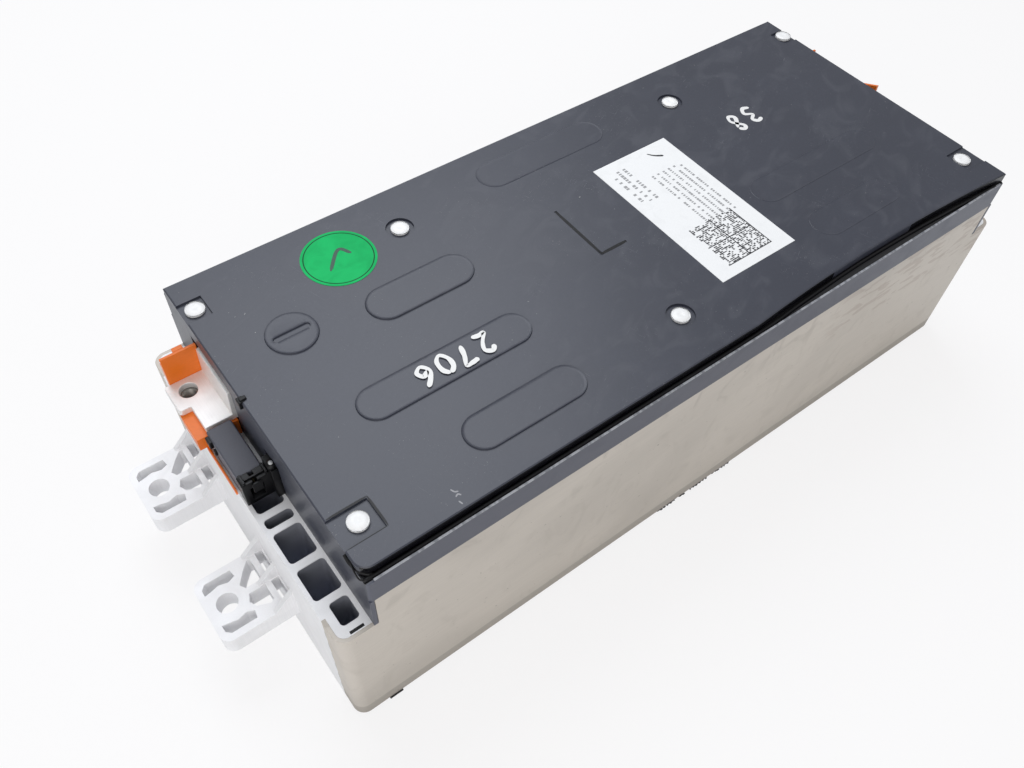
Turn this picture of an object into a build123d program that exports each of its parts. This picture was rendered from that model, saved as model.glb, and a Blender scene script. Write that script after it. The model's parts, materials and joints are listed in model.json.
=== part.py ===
"""EV battery module: twelve prismatic cells clamped between two extruded end plates.

Frame: millimetres, X along the module, Y across it, Z up, origin on the floor under the middle.
The connector end is at -X.  `end` is -1 for the connector end and +1 for the far end, and `side`
is -1 or +1 for the two long sides.  `out` is a distance beyond the end wall of the cover.
"""
from build123d import *
import os

# ---------------------------------------------------------------- driving dimensions
BODY_LENGTH = 355.0
BODY_WIDTH = 148.0
BODY_HEIGHT = 108.7
END_PLATE_DEPTH = 13.5
END_PLATE_TOP = 73.9
SHEET = 1.5
SHEET_CORNER = 5.0
SIDE_TOP = 91.7
SHEET_END_GAP = 0.2
FLANGE_REACH = 11.7
FOOT_REACH = 12.0
FOOT_ROUND = 1.35

HALF_LENGTH = BODY_LENGTH / 2
HALF_WIDTH = BODY_WIDTH / 2
HALF_COVER = HALF_LENGTH - END_PLATE_DEPTH
TOUCH = 0.05                      # running clearance between parts that slide past each other

# lugs of the end plates
LUG_TOP = 34.6
LUG_BOTTOM = 24.6
LUG_HALF = 14.7
LUG_TIP_OUT = 43.0
LUG_ROUND = 4.5
LUG_ROOT_LAP = 0.5                # how far a lug reaches into its plate
LUG_HOLE_OUT = 34.7
LUG_HOLE_RADIUS = 4.2
LUG_CENTRES = (-18.2, 43.8)
GUSSET_OUT = 22.0
GUSSET_RISE = 9.0
GUSSET_THICKNESS = 2.0

# cells and what lies between them
CELL_COUNT = 12
CELL_THICKNESS = 26.5
CELL_WIDTH = 144.0
CELL_BOTTOM = 2.0
CELL_TOP = 92.0
PAD_THICKNESS = 0.5
CELL_PITCH = CELL_THICKNESS + PAD_THICKNESS
STACK_LENGTH = CELL_COUNT * CELL_THICKNESS + (CELL_COUNT - 1) * PAD_THICKNESS
INSULATOR = (2 * HALF_COVER - STACK_LENGTH) / 2
TERMINAL_OFFSET = 36.0
TERMINAL_LENGTH = 17.0
TERMINAL_WIDTH = 14.0
TERMINAL_TOP = 94.6
CELL_CORNER = 2.5
VENT_LENGTH = 17.0
VENT_WIDTH = 9.0
VENT_DEPTH = 0.8
PLUG_OFFSET = 17.0
PLUG_RADIUS = 1.6
PLUG_HEIGHT = 0.5
PAD_MARGIN = 4.0
INSULATOR_DROP = 0.5
FILM_MARGIN = 2.0
LINK_THICKNESS = 1.6
LINK_HUMP_FOOT = 5.0
LINK_HUMP_TOP = 3.0
LINK_HUMP_RISE = 2.0
LINK_HOLE_RADIUS = 2.5

# carrier on top of the cells
TRAY_TOP = 93.6
TRAY_GAP = 0.5
POST_RADIUS = 3.6
VENT_WINDOW_HALF = 5.5
VENT_WINDOW_Y = (-10.0, 20.0)
FLEX_Y = (-20.0, -11.0)
FLEX_THICKNESS = 0.4
FLEX_END_GAP = 24.0
TAP_HALF = 2.0
TAP_REACH = TERMINAL_OFFSET - 8.8

# cover
COVER_WALL = 1.6
COVER_UNDERSIDE = 107.1
LEDGE_TOP = 104.1
LEDGE_WIDTH = 2.6
LIP_WIDTH = 0.7
LIP_TOP = 105.0
LIP_END_GAP = 3.0
NEAR_CORNER_ROUND = 5.0
EMBOSS = 0.6
EMBOSS_TAPER = 20.0
BOW = 2.5                         # how far the left edge of the raised top bows inwards

# output terminals (same at both ends)
BAR_THICKNESS = 3.0
BAR_TOP = 85.3
BAR_INNER_TOP = TERMINAL_TOP + BAR_THICKNESS
BAR_Y = (21.5, 47.4)
BAR_TIP_OUT = 16.8
BAR_NOTCH_OUT = 12.2
BAR_NOTCH_Y = 33.6
BAR_RISER_OUT = 1.4
BAR_HOLE = (9.7, 41.2)            # out, y
BAR_HOLE_RADIUS = 3.5
BAR_DRAFT = 0.6
BAR_ROUND = 1.5
NUT_BORE_RADIUS = 2.5
NUT_ACROSS = 10.0
NUT_HEIGHT = 6.0
HOUSING_TOP = BAR_TOP - BAR_THICKNESS
HOUSING_OUT = (0.2, 13.5)
LEDGE_BOTTOM = 76.0
GUARD_BASE = 3.0
GUARD_WALL = 1.1
GUARD_OUT = 14.2
GUARD_STEP = 95.2
GUARD_TOP = 99.6
GUARD_BOSS_OUT = (4.6, 8.6)
GUARD_BOSS_RISE = 0.2
GUARD_RIB_OUT = (3.2, 9.2)
RIM_OUT = (13.5, 14.2)
RIM_Y = (-2.0, BAR_Y[0])
RIM_DROP = 1.5
TAB_OUT = 17.6                    # the tab that only the far housing has
TAB_THICKNESS = 1.5
TAB_Y = (9.0, 18.0)
TAB_LOW_TOP = 96.0

# lids, caps and the low-voltage connector over the end plate
CAP_Y = (-4.7, 19.9)
CAP_OUT = (2.9, 12.7)
CAP_TOP = 86.0
CAP_WALL = 1.5
CONNECTOR_Y = (-9.6, CAP_Y[0] - 0.05)
CONNECTOR_TOP = 86.8
TOWER_Y = (-12.6, CONNECTOR_Y[1])
TOWER_OUT = (-1.2, 2.4)
TOWER_TOP = 91.0

# push rivets of the cover: (x, y)
RIVETS = (
    (-158.65, 54.9), (-155.35, -55.5), (-73.55, 48.6), (-12.15, -50.8),
    (74.65, 49.0), (155.65, -55.2), (160.4, 57.4),
)
RIVET_HEAD = 3.75
RIVET_HEAD_HEIGHT = 1.3
RIVET_HEAD_ROUND = 0.7
RIVET_SHANK = 1.5
RIVET_SHANK_LENGTH = 7.0

os.makedirs("parts", exist_ok=True)


def save(piece, name):
    """Label a finished piece and write its STEP file."""
    piece.part.label = name
    export_step(piece.part, f"parts/{name}.step")


def block(x, y, z, mode=Mode.ADD):
    """A box between two limits on each axis, in the part that is being built."""
    low = [min(limits) for limits in (x, y, z)]
    high = [max(limits) for limits in (x, y, z)]
    middle = tuple((a + b) / 2 for a, b in zip(low, high))
    size = [b - a for a, b in zip(low, high)]
    with Locations(middle):
        Box(*size, mode=mode)


def outward(end, *distances):
    """X positions at the given distances beyond the cover's end wall."""
    return tuple(end * (HALF_COVER + distance) for distance in distances)


# ---------------------------------------------------------------- extruded end plates
CHAMBERS = (
    (-68.3, -58.6), (-55.6, -42.0), (-38.8, -25.0), (-22.4, -18.0), (-15.0, -1.0),
    (2.0, 16.0), (19.0, 36.0), (39.0, 43.4), (46.6, 56.6), (59.6, 68.3),
)
CHAMBER_OUT = (1.2, 11.9)
CORNER_CHAMBER_OUT = (1.8, 8.9)
CHAMBER_ROUND = 1.6

# pockets of one lug: how far inward of its hole, and how far to the left and to the right of it
SLOT_POCKET = (
    (-5.7, 7.2), (-5.6, 10.0), (-3.8, 11.8), (6.6, 11.8), (7.2, 8.6), (4.2, 7.4), (0.4, 8.4), (-3.0, 7.6),
)
POINTED_POCKET = ((7.0, 3.8), (8.4, 1.4), (15.2, 1.4), (15.2, 11.6), (14.0, 11.8), (10.6, 8.4))
BLUNT_POCKET = ((7.0, 4.6), (8.4, 1.4), (15.2, 1.4), (15.2, 8.4), (13.8, 9.6), (8.6, 7.6))
ROOT_POCKET = ((17.6, 1.4), (17.6, 12.6), (20.7, 12.6), (20.7, 1.4))
LEFT_POCKETS = (SLOT_POCKET, BLUNT_POCKET, ROOT_POCKET)
RIGHT_POCKETS = (SLOT_POCKET, POINTED_POCKET, ROOT_POCKET)


def lug_pockets(end, y):
    """Sketch faces of the hollow pockets between the webs of one lug."""
    hole_x = outward(end, LUG_HOLE_OUT)[0]
    for across, outlines in ((-1, LEFT_POCKETS), (1, RIGHT_POCKETS)):
        for outline in outlines:
            corners = [(hole_x - end * inward, y + across * aside) for inward, aside in outline]
            Polygon(*corners, align=None)


def lug(end, y):
    """One mounting lug with its hole, its pockets and its three gussets."""
    root, foot, tip = outward(end, END_PLATE_DEPTH - LUG_ROOT_LAP, GUSSET_OUT, LUG_TIP_OUT)
    with BuildPart() as piece:
        with BuildSketch(Plane.XY.offset(LUG_BOTTOM)):
            with Locations(((root + tip) / 2, y)):
                Rectangle(abs(tip - root), 2 * LUG_HALF)
            tip_corners = [v for v in vertices() if abs(v.X - tip) < TOUCH]
            fillet(tip_corners, LUG_ROUND)
            with Locations((outward(end, LUG_HOLE_OUT)[0], y)):
                Circle(LUG_HOLE_RADIUS, mode=Mode.SUBTRACT)
        extrude(amount=LUG_TOP - LUG_BOTTOM)
        for offset in (-LUG_HALF, -GUSSET_THICKNESS / 2, LUG_HALF - GUSSET_THICKNESS):
            with BuildSketch(Plane.XZ.offset(-y - offset)):
                with BuildLine():
                    Polyline((root, LUG_TOP - LUG_ROOT_LAP), (foot, LUG_TOP - LUG_ROOT_LAP),
                             (foot, LUG_TOP), (root, LUG_TOP + GUSSET_RISE), close=True)
                make_face()
            extrude(amount=-GUSSET_THICKNESS)
        with BuildSketch(Plane.XY.offset(LUG_BOTTOM)):
            lug_pockets(end, y)
        extrude(amount=LUG_TOP - LUG_BOTTOM, mode=Mode.SUBTRACT)
    return piece.part


def end_plate(name, end):
    """One extruded plate with open chambers and two milled mounting lugs."""
    face_x, rebate_x, inner_x = outward(end, END_PLATE_DEPTH, END_PLATE_DEPTH - SHEET, 0)
    with BuildPart() as plate:
        with BuildSketch():
            with Locations(((rebate_x + inner_x) / 2, 0)):
                Rectangle(END_PLATE_DEPTH - SHEET, BODY_WIDTH - 2 * SHEET)
            outer_corners = [v for v in vertices() if abs(v.X - rebate_x) < TOUCH]
            fillet(outer_corners, SHEET_CORNER - SHEET)
            with Locations(((face_x + rebate_x) / 2, 0)):
                Rectangle(SHEET, BODY_WIDTH - 2 * FLANGE_REACH)
        extrude(amount=END_PLATE_TOP)
        with BuildSketch():
            for chamber in CHAMBERS:
                at_corner = abs(sum(chamber) / 2) > HALF_WIDTH - FLANGE_REACH
                reach = CORNER_CHAMBER_OUT if at_corner else CHAMBER_OUT
                with Locations((sum(outward(end, *reach)) / 2, sum(chamber) / 2)):
                    RectangleRounded(reach[1] - reach[0], chamber[1] - chamber[0], CHAMBER_ROUND)
        extrude(amount=END_PLATE_TOP, mode=Mode.SUBTRACT)
        for y in LUG_CENTRES:
            add(lug(end, y))
    save(plate, name)


end_plate("end_plate_front", -1)
end_plate("end_plate_rear", 1)


# ---------------------------------------------------------------- bent side sheets
def side_sheet(name, side):
    """Steel sheet along one long side, bent round both end plates and under the cells."""
    skin_y = (side * (HALF_WIDTH - SHEET), side * HALF_WIDTH)
    with BuildPart() as sheet:
        with BuildSketch():
            RectangleRounded(BODY_LENGTH, BODY_WIDTH, SHEET_CORNER)
            RectangleRounded(BODY_LENGTH - 2 * SHEET, BODY_WIDTH - 2 * SHEET,
                             SHEET_CORNER - SHEET, mode=Mode.SUBTRACT)
            with Locations((0, -side * FLANGE_REACH)):
                Rectangle(BODY_LENGTH, BODY_WIDTH, mode=Mode.SUBTRACT)
        extrude(amount=END_PLATE_TOP)
        reach = HALF_COVER - COVER_WALL - SHEET_END_GAP
        block((-reach, reach), skin_y, (0, SIDE_TOP))
        foot_y = (side * (HALF_WIDTH - FOOT_REACH), side * HALF_WIDTH)
        block((-HALF_COVER, HALF_COVER), foot_y, (0, SHEET))
        bend = sheet.edges().filter_by(Axis.X).filter_by(
            lambda edge: edge.length > HALF_COVER and abs(edge.center().Z) < TOUCH)
        fillet(bend.sort_by(Axis.Y)[-1 if side > 0 else 0], FOOT_ROUND)
    save(sheet, name)


side_sheet("side_sheet_left", -1)
side_sheet("side_sheet_right", 1)


# ---------------------------------------------------------------- cells, pads and insulators
def cell_middle(index):
    """X of the middle of one cell, counted from the connector end."""
    return (index - (CELL_COUNT - 1) / 2) * CELL_PITCH


def cell(index):
    """Sealed can with its lid, vent, fill plug and two terminals."""
    x = cell_middle(index)
    with BuildPart() as can:
        with BuildSketch(Plane.XY.offset(CELL_BOTTOM)):
            with Locations((x, 0)):
                RectangleRounded(CELL_THICKNESS, CELL_WIDTH, CELL_CORNER)
        extrude(amount=CELL_TOP - CELL_BOTTOM)
        with BuildSketch(Plane.XY.offset(CELL_TOP)):
            with Locations((x, 0)):
                SlotOverall(VENT_LENGTH, VENT_WIDTH, rotation=90)
        extrude(amount=-VENT_DEPTH, mode=Mode.SUBTRACT)
        with BuildSketch(Plane.XY.offset(CELL_TOP)):
            with Locations((x, PLUG_OFFSET)):
                Circle(PLUG_RADIUS)
        extrude(amount=PLUG_HEIGHT)
        with BuildSketch(Plane.XY.offset(CELL_TOP)):
            with Locations((x, -TERMINAL_OFFSET), (x, TERMINAL_OFFSET)):
                RectangleRounded(TERMINAL_WIDTH, TERMINAL_LENGTH, PLUG_RADIUS)
        extrude(amount=TERMINAL_TOP - CELL_TOP)
    save(can, f"cell_{index + 1:02d}")


def foam_pad(index):
    """Compression pad between a cell and the next one."""
    x = cell_middle(index) + CELL_PITCH / 2
    with BuildPart() as pad:
        block((x - PAD_THICKNESS / 2, x + PAD_THICKNESS / 2),
              (-CELL_WIDTH / 2 + PAD_MARGIN, CELL_WIDTH / 2 - PAD_MARGIN),
              (CELL_BOTTOM, CELL_TOP - PAD_MARGIN))
    save(pad, f"foam_pad_{index + 1:02d}")


def end_insulator(name, end):
    """Plastic plate between the last cell and the end plate."""
    with BuildPart() as plate:
        block(outward(end, -INSULATOR, 0), (-HALF_WIDTH + PAD_MARGIN, HALF_WIDTH - PAD_MARGIN),
              (CELL_BOTTOM, END_PLATE_TOP - INSULATOR_DROP))
    save(plate, name)


for cell_index in range(CELL_COUNT):
    cell(cell_index)
for pad_index in range(CELL_COUNT - 1):
    foam_pad(pad_index)
end_insulator("end_insulator_front", -1)
end_insulator("end_insulator_rear", 1)

with BuildPart() as bottom_film:
    block((-HALF_COVER, HALF_COVER), (-HALF_WIDTH + FILM_MARGIN, HALF_WIDTH - FILM_MARGIN),
          (SHEET, CELL_BOTTOM))
save(bottom_film, "bottom_film")


# ---------------------------------------------------------------- links between the cells
def link_side(index):
    """Side of the module on which one link joins its two cells."""
    return -1 if index % 2 == 0 else 1


def cell_link(index):
    """Aluminium busbar from one terminal to the next, with a stress-relief hump."""
    middle = cell_middle(index) + CELL_PITCH / 2
    reach = CELL_PITCH / 2 + TERMINAL_WIDTH / 2
    y = link_side(index) * TERMINAL_OFFSET
    half = (
        (reach, 0.0), (LINK_HUMP_FOOT, 0.0), (LINK_HUMP_TOP, LINK_HUMP_RISE),
    )
    upper = (
        (reach, LINK_THICKNESS), (LINK_HUMP_FOOT - LINK_THICKNESS / 2, LINK_THICKNESS),
        (LINK_HUMP_TOP - LINK_THICKNESS / 2, LINK_HUMP_RISE + LINK_THICKNESS),
    )
    outline = [(-along, up) for along, up in half]
    outline += [(along, up) for along, up in reversed(half)]
    outline += [(along, up) for along, up in upper]
    outline += [(-along, up) for along, up in reversed(upper)]
    with BuildPart() as link:
        with BuildSketch(Plane.XZ.offset(-y - TERMINAL_LENGTH / 2)):
            Polygon(*[(middle + along, TERMINAL_TOP + up) for along, up in outline], align=None)
        extrude(amount=TERMINAL_LENGTH)
        hole_at = (middle - CELL_PITCH / 2, middle + CELL_PITCH / 2)
        with Locations(*[(x, y, TERMINAL_TOP + LINK_THICKNESS) for x in hole_at]):
            Hole(LINK_HOLE_RADIUS)
    save(link, f"cell_link_{index + 1:02d}")


for link_index in range(CELL_COUNT - 1):
    cell_link(link_index)

# ---------------------------------------------------------------- carrier on the cells
TRAY_HALF_LENGTH = HALF_COVER - COVER_WALL - TRAY_GAP
TRAY_HALF_WIDTH = HALF_WIDTH - SHEET - TRAY_GAP

with BuildPart() as carrier:
    block((-TRAY_HALF_LENGTH, TRAY_HALF_LENGTH), (-TRAY_HALF_WIDTH, TRAY_HALF_WIDTH),
          (CELL_TOP, TRAY_TOP))
    for carrier_index in range(CELL_COUNT):
        window_x = cell_middle(carrier_index)
        for window_y in (-TERMINAL_OFFSET, TERMINAL_OFFSET):
            window_half = (TERMINAL_WIDTH / 2 + TRAY_GAP, TERMINAL_LENGTH / 2 + TRAY_GAP)
            block((window_x - window_half[0], window_x + window_half[0]),
                  (window_y - window_half[1], window_y + window_half[1]),
                  (CELL_TOP, TRAY_TOP), mode=Mode.SUBTRACT)
        block((window_x - VENT_WINDOW_HALF, window_x + VENT_WINDOW_HALF), VENT_WINDOW_Y,
              (CELL_TOP, TRAY_TOP), mode=Mode.SUBTRACT)
    for rivet_x, rivet_y in RIVETS:
        with BuildSketch(Plane.XY.offset(TRAY_TOP)):
            with Locations((rivet_x, rivet_y)):
                Circle(POST_RADIUS)
            Rectangle(2 * TRAY_HALF_LENGTH, 2 * TRAY_HALF_WIDTH, mode=Mode.INTERSECT)
        extrude(amount=COVER_UNDERSIDE - TRAY_TOP)
    with BuildSketch(Plane.XY.offset(COVER_UNDERSIDE)):
        with Locations(*RIVETS):
            Circle(RIVET_SHANK)
    extrude(amount=TRAY_TOP - COVER_UNDERSIDE, mode=Mode.SUBTRACT)
save(carrier, "cell_carrier")

with BuildPart() as flex_circuit:
    strip_half = HALF_COVER - FLEX_END_GAP
    strip_z = (TRAY_TOP, TRAY_TOP + FLEX_THICKNESS)
    block((-strip_half, strip_half), FLEX_Y, strip_z)
    for tap_index in range(CELL_COUNT - 1):
        tap_x = cell_middle(tap_index) + CELL_PITCH / 2
        tap_y = (-TAP_REACH, FLEX_Y[0]) if link_side(tap_index) < 0 else (FLEX_Y[1], TAP_REACH)
        block((tap_x - TAP_HALF, tap_x + TAP_HALF), tap_y, strip_z)
save(flex_circuit, "flex_circuit")


# ---------------------------------------------------------------- output terminals
def output_busbar(name, end):
    """Aluminium bar from the last cell's terminal down to the bolting face."""
    inner_out = -(INSULATOR + CELL_THICKNESS / 2 + TERMINAL_WIDTH / 2)
    riser_inner = BAR_RISER_OUT - BAR_THICKNESS
    profile = (
        (inner_out, TERMINAL_TOP), (riser_inner, TERMINAL_TOP),
        (riser_inner, BAR_TOP - BAR_THICKNESS), (BAR_TIP_OUT, BAR_TOP - BAR_THICKNESS),
        (BAR_TIP_OUT, BAR_TOP), (BAR_RISER_OUT, BAR_TOP), (BAR_RISER_OUT - BAR_DRAFT, BAR_INNER_TOP),
        (inner_out, BAR_INNER_TOP),
    )
    with BuildPart() as bar:
        with BuildSketch(Plane.XZ.offset(-BAR_Y[1])):
            Polygon(*[(outward(end, out)[0], z) for out, z in profile], align=None)
        extrude(amount=BAR_Y[1] - BAR_Y[0])
        block(outward(end, BAR_NOTCH_OUT, BAR_TIP_OUT), (BAR_Y[0], BAR_NOTCH_Y),
              (BAR_TOP - BAR_THICKNESS, BAR_TOP), mode=Mode.SUBTRACT)
        tip_edges = bar.edges().filter_by(Axis.Z).group_by(Axis.X)[0 if end < 0 else -1]
        fillet(tip_edges, BAR_ROUND)
        with Locations((outward(end, BAR_HOLE[0])[0], BAR_HOLE[1], BAR_TOP)):
            Hole(BAR_HOLE_RADIUS, depth=BAR_THICKNESS)
    save(bar, name)


def latch_tab(end):
    """Upright tab beyond the base of the far housing."""
    with BuildPart() as tab:
        with BuildSketch(Plane.YZ.offset(outward(end, TAB_OUT)[0])):
            with BuildLine():
                Polyline((TAB_Y[1], LEDGE_BOTTOM), (TAB_Y[1], TAB_LOW_TOP), (TAB_Y[0], GUARD_TOP),
                         (TAB_Y[0], LEDGE_BOTTOM), close=True)
            make_face()
        extrude(amount=-end * TAB_THICKNESS)
        block(outward(end, HOUSING_OUT[1], TAB_OUT), (TAB_Y[0], BAR_Y[0]), (LEDGE_BOTTOM, HOUSING_TOP))
    return tab.part


def terminal_housing(name, end):
    """Orange base under the bolting face, with its guard wall and what stands out beyond it."""
    nut_x = outward(end, BAR_HOLE[0])[0]
    guard_y = BAR_Y[1]
    guard_out = (HOUSING_OUT[0], GUARD_OUT)
    with BuildPart() as housing:
        block(outward(end, *HOUSING_OUT), (BAR_Y[0] - GUARD_WALL, guard_y + GUARD_BASE),
              (END_PLATE_TOP, HOUSING_TOP))
        block(outward(end, *guard_out), (guard_y, guard_y + GUARD_BASE), (END_PLATE_TOP, GUARD_STEP))
        block(outward(end, *guard_out), (guard_y, guard_y + GUARD_WALL), (GUARD_STEP, GUARD_TOP))
        block(outward(end, *GUARD_BOSS_OUT), (guard_y + GUARD_WALL, guard_y + GUARD_BASE),
              (GUARD_STEP, GUARD_TOP + GUARD_BOSS_RISE))
        block(outward(end, *GUARD_RIB_OUT), (guard_y + GUARD_BASE, guard_y + GUARD_BASE + GUARD_WALL),
              (END_PLATE_TOP, GUARD_STEP))
        block(outward(end, *RIM_OUT), RIM_Y, (END_PLATE_TOP - RIM_DROP, END_PLATE_TOP + RIM_DROP))
        block(outward(end, HOUSING_OUT[1], BAR_TIP_OUT), (BAR_Y[0] - GUARD_WALL, BAR_NOTCH_Y + GUARD_WALL),
              (LEDGE_BOTTOM, HOUSING_TOP))
        if end > 0:
            add(latch_tab(end))
        with BuildSketch(Plane.XY.offset(HOUSING_TOP)):
            with Locations((nut_x, BAR_HOLE[1])):
                RegularPolygon(NUT_ACROSS / 2 + TOUCH, 6, major_radius=False, rotation=30)
        extrude(amount=-NUT_HEIGHT, mode=Mode.SUBTRACT)
    save(housing, name)


def terminal_nut(name, end):
    """Steel hexagon insert under the bar, bored for an M6 screw."""
    with BuildPart() as nut:
        with BuildSketch(Plane.XY.offset(BAR_TOP - BAR_THICKNESS - NUT_HEIGHT)):
            with Locations((outward(end, BAR_HOLE[0])[0], BAR_HOLE[1])):
                RegularPolygon(NUT_ACROSS / 2, 6, major_radius=False, rotation=30)
                Circle(NUT_BORE_RADIUS, mode=Mode.SUBTRACT)
        extrude(amount=NUT_HEIGHT)
    save(nut, name)


for end_name, end_sign in (("front", -1), ("rear", 1)):
    output_busbar(f"output_busbar_{end_name}", end_sign)
    terminal_housing(f"terminal_housing_{end_name}", end_sign)
    terminal_nut(f"terminal_nut_{end_name}", end_sign)


# ---------------------------------------------------------------- caps and connector
CAP_ROUND = 1.0
CAP_TOP_ROUND = 0.6


def duct_cap(name, end):
    """Grey cap over the end plate beside the terminal, open below and towards the connector."""
    inner_out = (CAP_OUT[0] + CAP_WALL, CAP_OUT[1] - CAP_WALL)
    with BuildPart() as cap:
        block(outward(end, *CAP_OUT), CAP_Y, (END_PLATE_TOP, CAP_TOP))
        fillet(cap.edges().filter_by(Axis.Z), CAP_ROUND)
        fillet(cap.faces().sort_by(Axis.Z)[-1].edges(), CAP_TOP_ROUND)
        block(outward(end, *inner_out), (CAP_Y[0], CAP_Y[1] - CAP_WALL),
              (END_PLATE_TOP, CAP_TOP - CAP_WALL), mode=Mode.SUBTRACT)
    save(cap, name)


duct_cap("duct_cap_front", -1)
duct_cap("duct_cap_rear", 1)

CONNECTOR_OUT = 13.0
CONNECTOR_BACK = (CAP_OUT[0] + CAP_WALL + TOUCH, CAP_OUT[1] - CAP_WALL - TOUCH)
CONNECTOR_BACK_Y = 3.0
SOCKET_OUT = (CONNECTOR_BACK[0] + 0.9, CONNECTOR_BACK[1] - 0.9)
SOCKET_Z = (75.8, 83.2)
SOCKET_END_Y = 1.5
KEYWAY_OUT = (7.0, 8.6)

with BuildPart() as connector:
    block(outward(-1, TOWER_OUT[0], CONNECTOR_OUT), CONNECTOR_Y, (END_PLATE_TOP, CONNECTOR_TOP))
    fillet(connector.edges().filter_by(Axis.Y).group_by(Axis.Z)[-1], CAP_TOP_ROUND)
    block(outward(-1, *TOWER_OUT), TOWER_Y, (END_PLATE_TOP, TOWER_TOP))
    block(outward(-1, *CONNECTOR_BACK), (CONNECTOR_Y[1], CONNECTOR_BACK_Y),
          (END_PLATE_TOP, CAP_TOP - CAP_WALL - TOUCH))
    block(outward(-1, *SOCKET_OUT), (CONNECTOR_Y[0], SOCKET_END_Y), SOCKET_Z, mode=Mode.SUBTRACT)
    block(outward(-1, *KEYWAY_OUT), CONNECTOR_Y, (SOCKET_Z[1], CONNECTOR_TOP), mode=Mode.SUBTRACT)
save(connector, "signal_connector")

PIN_COLUMNS = 4
PIN_PITCH = 1.25
PIN_HALF = 0.25
PIN_ROWS = (78.2, 80.8)
PIN_LENGTH = 6.5

with BuildPart() as signal_pins:
    for row_z in PIN_ROWS:
        for column in range(PIN_COLUMNS):
            pin_out = sum(SOCKET_OUT) / 2 + (column - (PIN_COLUMNS - 1) / 2) * PIN_PITCH
            block(outward(-1, pin_out - PIN_HALF, pin_out + PIN_HALF),
                  (SOCKET_END_Y - PIN_LENGTH, SOCKET_END_Y), (row_z - PIN_HALF, row_z + PIN_HALF))
save(signal_pins, "signal_pins")


# ---------------------------------------------------------------- cover
def obround(x, y):
    """Rounded raised panel between two limits on each axis, as a sketch face."""
    with Locations((sum(x) / 2, sum(y) / 2)):
        SlotOverall(abs(x[1] - x[0]), abs(y[1] - y[0]))


RAISED_PANELS = (
    ((-107.5, -61.0), (8.6, 25.6)),
    ((-134.0, -61.0), (-27.6, -12.4)),
    ((-111.0, -60.0), (-58.6, -42.9)),
    ((-31.0, 35.0), (45.5, 61.5)),
    ((60.0, 134.0), (-27.6, -12.4)),
    ((66.0, 116.0), (-56.0, -40.5)),
)
MINUS_CENTRE = (-135.2, 24.2)
MINUS_RADIUS = 10.0
MINUS_BAR = (14.5, 2.2)
STEP_CORNER = (-16.45, -9.5)
STEP_ARMS = (13.6, 30.4)
STEP_WIDTH = 1.2
PAD_DEPTH = 0.9
COUNTERSINK_RADIUS = 5.8
COVER_CORNER = 1.5
TOP_CHAMFER = 0.5
BOW_START_X = 9.0
BOW_DEEPEST_X = 75.0
BOW_END_DROP = 1.3
HOLLOW_MARGIN = (6.4, 4.2)        # solid width left at the left and the right edge of the raised top
BAR_OPENING = ((BAR_Y[0] - 1.9, BAR_Y[1] + 4.6), 100.2)
CONNECTOR_OPENING = ((TOWER_Y[0] - 1.2, TOWER_Y[1] + 1.4), TOWER_TOP + 1.6)
# sunk corner pads round the rivets: (x range, y range)
CORNER_PADS = (
    ((-HALF_COVER, -HALF_COVER + 15.2), (-62.2, -49.8)),
    ((-HALF_COVER, -HALF_COVER + 9.9), (49.4, 60.0)),
    ((HALF_COVER - 12.6, HALF_COVER), (-62.0, -49.8)),
    ((HALF_COVER - 8.4, HALF_COVER), (51.6, 61.6)),
)

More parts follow.
